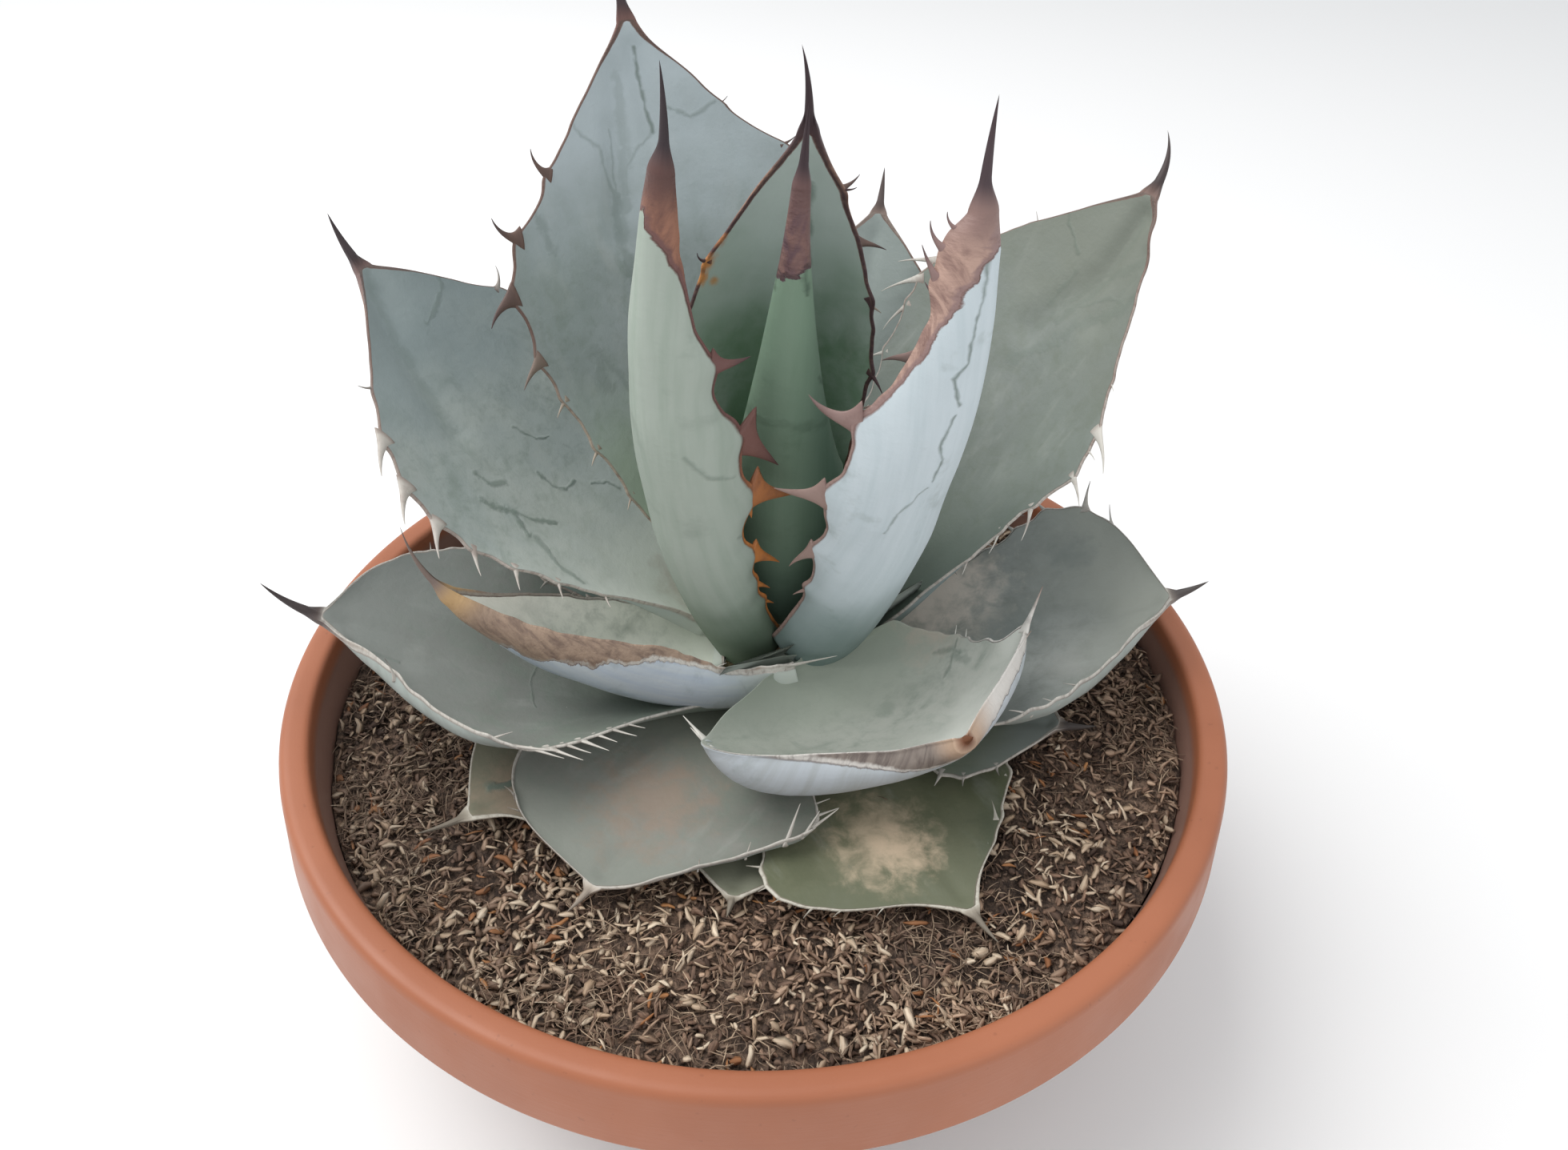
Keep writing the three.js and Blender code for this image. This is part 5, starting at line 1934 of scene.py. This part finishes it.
@dataclass
class Soil:
    """The potting mix: a crumbled body and the flakes that cover it.

    level is its height in the middle, tilt how much higher it lies at the right wall and
    crumb how high its broad waves are. rim is the radius of its top, and gap the room
    between its side and the bowl. The flakes lie within the radius reach, and past the
    share clear of that circle's area, in drifts about as large as drift_size.
    """

    bowl: Bowl
    kinds: tuple[ChipKind, ...]
    level: float = 101.5
    tilt: float = 2.5
    crumb: float = 0.7
    bottom: float = 62.0
    rim: float = 137.2
    gap: float = 0.4
    segments: int = 560
    rings: int = 150
    reach: float = 136.0
    clear: float = 0.12
    drift_size: float = 24.0

    def height(self, x: Array, y: Array) -> Array:
        """The soil's height: low on the left, with crumbs as a sum of crossed waves.

        Args:
            x: places to the right of the bowl's middle.
            y: places behind it.

        Returns:
            The heights.
        """
        slope = self.tilt * x / self.bowl.mouth_radius
        sway = 1.3 * np.sin(2 * math.pi * y / 57.0)
        across = np.sin(2 * math.pi * x / 20.0 + sway)
        crumbs = across * np.sin(2 * math.pi * (y / 23.0 + x / 126.0))
        return self.level + slope + self.crumb * crumbs

    def rough_height(self, x: Array, y: Array) -> Array:
        """The height with clods, grains and a slight bank against the wall.

        Args:
            x: places to the right of the bowl's middle.
            y: places behind it.

        Returns:
            The heights.
        """
        spots = np.stack([x, y, np.zeros(x.shape)], axis=-1)
        clods = 1.5 * fractal(spots, 13.0, 11, 5)
        bank = 1.6 * smooth((np.hypot(x, y) - 118.0) / 18.0)
        return self.height(x, y) + clods + bank - 0.8

    def body(self) -> Piece:
        """The soil under the flakes: a closed body with a crumbled top.

        Returns:
            The piece.
        """
        wall = float(self.bowl.inner_radius_at(np.array(self.bottom))) - self.gap
        side = [[0.0, self.bottom], [wall, self.bottom]]
        top = [[radius, self.level] for radius in np.linspace(self.rim, 1.0, self.rings)]
        profile = np.array([*side, *top, [0.0, self.level]])
        skin = revolved(profile, self.segments)
        x, y, z = skin.points.T
        above = z > self.level - 1.0
        skin.points[above, 2] = self.rough_height(x[above], y[above])
        piece = skin.to_object("soil_piece", SoilFinish().material())
        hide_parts("soil")
        return piece

    def scatter(self, kind: ChipKind, random: np.random.Generator) -> tuple[Array, Array]:
        """Places for one kind of flake, thick in some spots and thin in others.

        A place is kept where a random number from 0 to 1 is less than 0.5 + drift * noise.

        Args:
            kind: the kind, with its count and its drift.
            random: gives the random numbers.

        Returns:
            The places to the right of the bowl's middle and behind it, at most as many as
            the kind has flakes.
        """
        tries = 4 * kind.count
        radius = self.reach * np.sqrt(random.uniform(self.clear, 1.0, tries))
        turn = random.uniform(0.0, 2 * math.pi, tries)
        spots = np.stack([radius * np.cos(turn), radius * np.sin(turn), 0 * turn], axis=-1)
        noise = fractal(spots, self.drift_size, 60 + len(kind.name))
        chance = 0.5 + kind.drift * noise
        kept = spots[random.uniform(0.0, 1.0, tries) < chance][: kind.count]
        return kept[:, 0], kept[:, 1]

    def chips(self, kind: ChipKind, seed: int) -> Piece:
        """Scatters one kind of flake over the soil.

        A flake has three rings of four vertices between two pointed ends. Its section is a
        flat lozenge, its width goes as the square root of sin(pi t), and its hump and its
        sideways bend go as 1 - (2t - 1)^2. Most are short, few are long.

        Args:
            kind: the flake's sizes and finish.
            seed: picks their places and turns.

        Returns:
            The piece that holds them all.
        """
        random = np.random.default_rng(seed)
        x, y = self.scatter(kind, random)
        n = len(x)
        z = self.rough_height(x, y) + random.uniform(*kind.rise, n)
        length = mix(*kind.length, random.beta(1.3, 2.6, n))
        width = mix(*kind.width, random.beta(1.4, 2.2, n))

        t = np.array([0.16, 0.52, 0.86])
        rings = len(t)
        count = 4 * rings + 2
        ring = np.array([0.0, 0.5, 1.0, 1.5]) * math.pi
        swell = np.sqrt(np.sin(math.pi * t))
        hump = (1 - (2 * t - 1) ** 2) * length[:, None]
        wobble = random.uniform(0.6, 1.25, (n, rings, 1))
        across = (np.cos(ring) * swell[:, None] * wobble) * width[:, None, None] / 2
        across = across + (hump * random.normal(0.0, kind.bend, (n, 1)))[..., None]
        arch = hump * kind.arch * random.normal(0.6, 0.6, (n, 1))
        up = (np.sin(ring) * swell[:, None])[None] * kind.thickness / 2 + arch[..., None]
        local = np.zeros((n, count, 3))
        local[:, :-2, 0] = np.repeat(t - 0.5, 4) * length[:, None]
        local[:, :-2, 1] = across.reshape(n, -1)
        local[:, :-2, 2] = up.reshape(n, -1)
        local[:, -2, 0] = -length / 2
        local[:, -1, 0] = length / 2

        yaw = random.uniform(0.0, 2 * math.pi, n)
        pitch = np.radians(random.normal(0.0, kind.tilt, n))
        roll = np.radians(random.normal(0.0, 1.6 * kind.tilt, n))
        points = self.turned(local, yaw, pitch, roll) + np.stack([x, y, z], axis=-1)[:, None]
        one = np.concatenate([tube_quads(rings, 4), end_fan(0, 4, count - 2, False),
                              end_fan(count - 6, 4, count - 1, True)])
        quads = (one[None] + (np.arange(n) * count)[:, None, None]).reshape(-1, 4)
        tint = np.repeat(random.beta(1.2, 1.6, n), count)
        apart = random.uniform(0, 9, (n, 1, 1)) + np.zeros((n, count, 1))
        flat = np.concatenate([local[..., 1:2], local[..., :1], apart], axis=-1) / 10.0
        skin = Skin(points.reshape(-1, 3), quads, {"tint": tint, "flat": flat.reshape(-1, 3)})
        piece = skin.to_object("soil_" + kind.name, kind.finish.material())
        return piece

    @staticmethod
    def turned(local: Array, yaw: Array, pitch: Array, roll: Array) -> Array:
        """Turns each flake about its length, then up or down, then about the upright.

        Args:
            local: the flakes' vertices, each lying along the first axis.
            yaw: the last turn of each flake.
            pitch: the one before.
            roll: the first.

        Returns:
            The turned vertices.
        """
        cr, sr = np.cos(roll)[:, None], np.sin(roll)[:, None]
        x, y, z = local[..., 0], local[..., 1], local[..., 2]
        y, z = y * cr - z * sr, y * sr + z * cr
        cp, sp = np.cos(pitch)[:, None], np.sin(pitch)[:, None]
        x, z = x * cp - z * sp, x * sp + z * cp
        cy, sy = np.cos(yaw)[:, None], np.sin(yaw)[:, None]
        return np.stack([x * cy - y * sy, x * sy + y * cy, z], axis=-1)

    def build(self) -> list[Piece]:
        """Returns the soil's body and its flakes."""
        return [self.body()] + [self.chips(kind, 200 + i) for i, kind in enumerate(self.kinds)]


CHIP_KINDS = (
    ChipKind("crumbs", 7400, (0.8, 3), (0.7, 2.2), 0.8, 0, 32, (-0.4, 0.8),
             ChipFinish("crumbs", (166, 140, 121), (72, 60, 53), 0.9), drift=0.3),
    ChipKind("bark_dark", 4600, (2, 7.5), (1, 3.6), 0.5, 0.08, 24, (0, 1.5),
             ChipFinish("bark_dark", (162, 131, 110), (70, 56, 49), 0.85), drift=0.4),
    ChipKind("husks_brown", 6000, (2, 8.5), (0.7, 2.8), 0.3, 0.16, 22, (0.4, 2.2),
             ChipFinish("husks_brown", (208, 178, 152), (112, 88, 72), 0.5), drift=0.7),
    ChipKind("husks_pale", 2600, (2.2, 9), (0.8, 3), 0.3, 0.18, 20, (1, 2.7),
             ChipFinish("husks_pale", (240, 224, 200), (176, 150, 124), 0.45), drift=1),
    ChipKind("fibres", 5200, (4, 14), (0.25, 0.65), 0.25, 0.14, 14, (0.8, 2.6),
             ChipFinish("fibres", (212, 188, 160), (112, 90, 76)), 0.22, 0.7),
    ChipKind("flakes_orange", 380, (3, 9), (1, 3), 0.4, 0.1, 18, (1.2, 2.4),
             ChipFinish("flakes_orange", (194, 140, 92), (140, 92, 60)), drift=1.3),
)


@dataclass(frozen=True)
class StemFinish:
    """Dry, fibrous bark, ringed across."""

    dark: Colour = (122, 104, 82)
    light: Colour = (160, 146, 120)

    def material(self) -> bpy.types.Material:
        """Returns the material of the stem."""
        g = Graph("finish_stem")
        fibres = g.noise(g.scaled(g.place(), (300.0, 300.0, 900.0)), 1.0, 3.0, 0.6)
        return g.finish(g.blend(fibres, self.dark, self.light), 0.85, g.bump(fibres, 0.6), 0.25)


@dataclass
class Stem:
    """The short stem, ringed where old leaves fell."""

    middle: Pair = (10.0, 6.0)
    radius: float = 26.5
    bottom: float = 60.0
    shoulder: float = 110.0
    top: float = 133.0
    ring_depth: float = 0.7
    ring_step: float = 5.0

    def build(self) -> Piece:
        """Turns the stem.

        It is a plain column that rounds over to the top as a quarter ellipse, and its rings
        are a wave along it.

        Returns:
            The piece.
        """
        z = np.linspace(self.bottom, self.top - 0.3, 60)
        over = np.clip((z - self.shoulder) / (self.top - self.shoulder), 0.0, 1.0)
        waves = self.ring_depth * np.sin(z * 2 * math.pi / self.ring_step)
        r = self.radius * np.sqrt(1 - over**2) + waves - self.ring_depth
        side = np.stack([np.maximum(r, 1.0), z], axis=-1)
        profile = np.concatenate([[[0.0, self.bottom]], side, [[0.0, self.top]]])
        skin = revolved(profile, 96, self.middle)
        piece = skin.to_object("stem_piece", StemFinish().material())
        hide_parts("stem")
        return piece


# The studio.


@dataclass
class Studio:
    """Floor, lights and camera.

    The camera's place is in millimetres, its pitch down in degrees, and its yaw and its
    roll in radians. The lights and the floor are in metres.
    """

    focal_pixels: float = 1400.0
    frame_pixels: tuple[int, int] = (1960, 1437)
    pitch: float = 38.65
    yaw: float = 0.003
    roll: float = 0.033
    place: Triple = (6.5, -271.0, 370.0)
    sensor: float = 36.0
    floor_half: float = 6.0
    floor_light: float = 0.88
    aim: Triple = (0.0, 0.0, 0.15)
    surround: Triple = (0.96, 0.98, 1.0)
    surround_power: float = 0.74

    def build(self) -> None:
        """Puts up the floor, the lights and the camera."""
        self.floor()
        self.lights()
        self.camera()

    def floor(self) -> None:
        """A plain pale floor, marked as no part of the object."""
        g = Graph("studio_floor")
        material = g.finish((*[self.floor_light] * 3, 1.0), 0.9, None, 0.1)
        mesh = bpy.data.meshes.new("studio_floor")
        corners = [(-1, -1), (1, -1), (1, 1), (-1, 1)]
        spots = [(x * self.floor_half, y * self.floor_half, 0) for x, y in corners]
        mesh.from_pydata(spots, [], [(0, 1, 2, 3)])
        mesh.materials.append(material)
        floor = bpy.data.objects.new("studio_floor", mesh)
        bpy.context.scene.collection.objects.link(floor)

    def area(self, name: str, place: Triple, size: float, power: float,
             tint: Triple = (1.0, 1.0, 1.0)) -> None:
        """Adds one square soft light that looks at the plant.

        Args:
            name: its name.
            place: where it stands.
            size: the length of its side.
            power: how strong it is, in watts.
            tint: its colour.
        """
        light = bpy.data.lights.new(name, "AREA")
        light.size = size
        light.energy = power
        light.color = tint
        lamp = bpy.data.objects.new(name, light)
        lamp.location = place
        aim = Vector(self.aim) - Vector(place)
        lamp.rotation_euler = aim.to_track_quat("-Z", "Y").to_euler()
        bpy.context.scene.collection.objects.link(lamp)

    def lights(self) -> None:
        """Soft daylight from above and a little from the left, on a pale surround."""
        world = bpy.data.worlds.new("studio")
        world.use_nodes = True
        background = world.node_tree.nodes["Background"]
        background.inputs[0].default_value = (*self.surround, 1.0)
        background.inputs[1].default_value = self.surround_power
        bpy.context.scene.world = world
        self.area("key", (-1.0, 0.2, 1.8), 1.5, 33.0, (1.0, 0.985, 0.965))
        self.area("fill", (1.3, -1.4, 1.3), 1.8, 6.0)
        bpy.context.scene.view_settings.view_transform = "Standard"

    def camera(self) -> None:
        """The camera at the photograph's place and angle."""
        camera = bpy.data.cameras.new("camera")
        camera.sensor_fit = "HORIZONTAL"
        camera.sensor_width = self.sensor
        camera.lens = self.sensor * self.focal_pixels / self.frame_pixels[0]
        pitch = math.radians(self.pitch)
        ahead = Vector((math.sin(self.yaw) * math.cos(pitch),
                        math.cos(self.yaw) * math.cos(pitch), -math.sin(pitch)))
        flat = Vector((math.cos(self.yaw), -math.sin(self.yaw), 0.0))
        up = flat.cross(ahead)
        right = flat * math.cos(self.roll) + up * math.sin(self.roll)
        up = up * math.cos(self.roll) - flat * math.sin(self.roll)
        made = bpy.data.objects.new("camera", camera)
        turn = Matrix((right, up, -ahead)).transposed().to_4x4()
        made.matrix_world = Matrix.Translation(Vector(self.place) * MM) @ turn
        bpy.context.scene.collection.objects.link(made)
        bpy.context.scene.camera = made


def main() -> None:
    """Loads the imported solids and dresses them."""
    logging.basicConfig(level=logging.INFO, format="%(name)s: %(message)s")
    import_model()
    Studio().build()
    bowl = Bowl()
    bowl.build()
    Soil(bowl, CHIP_KINDS).build()
    Stem().build()
    Rosette(LEAVES).build()


if __name__ == "__main__":
    main()
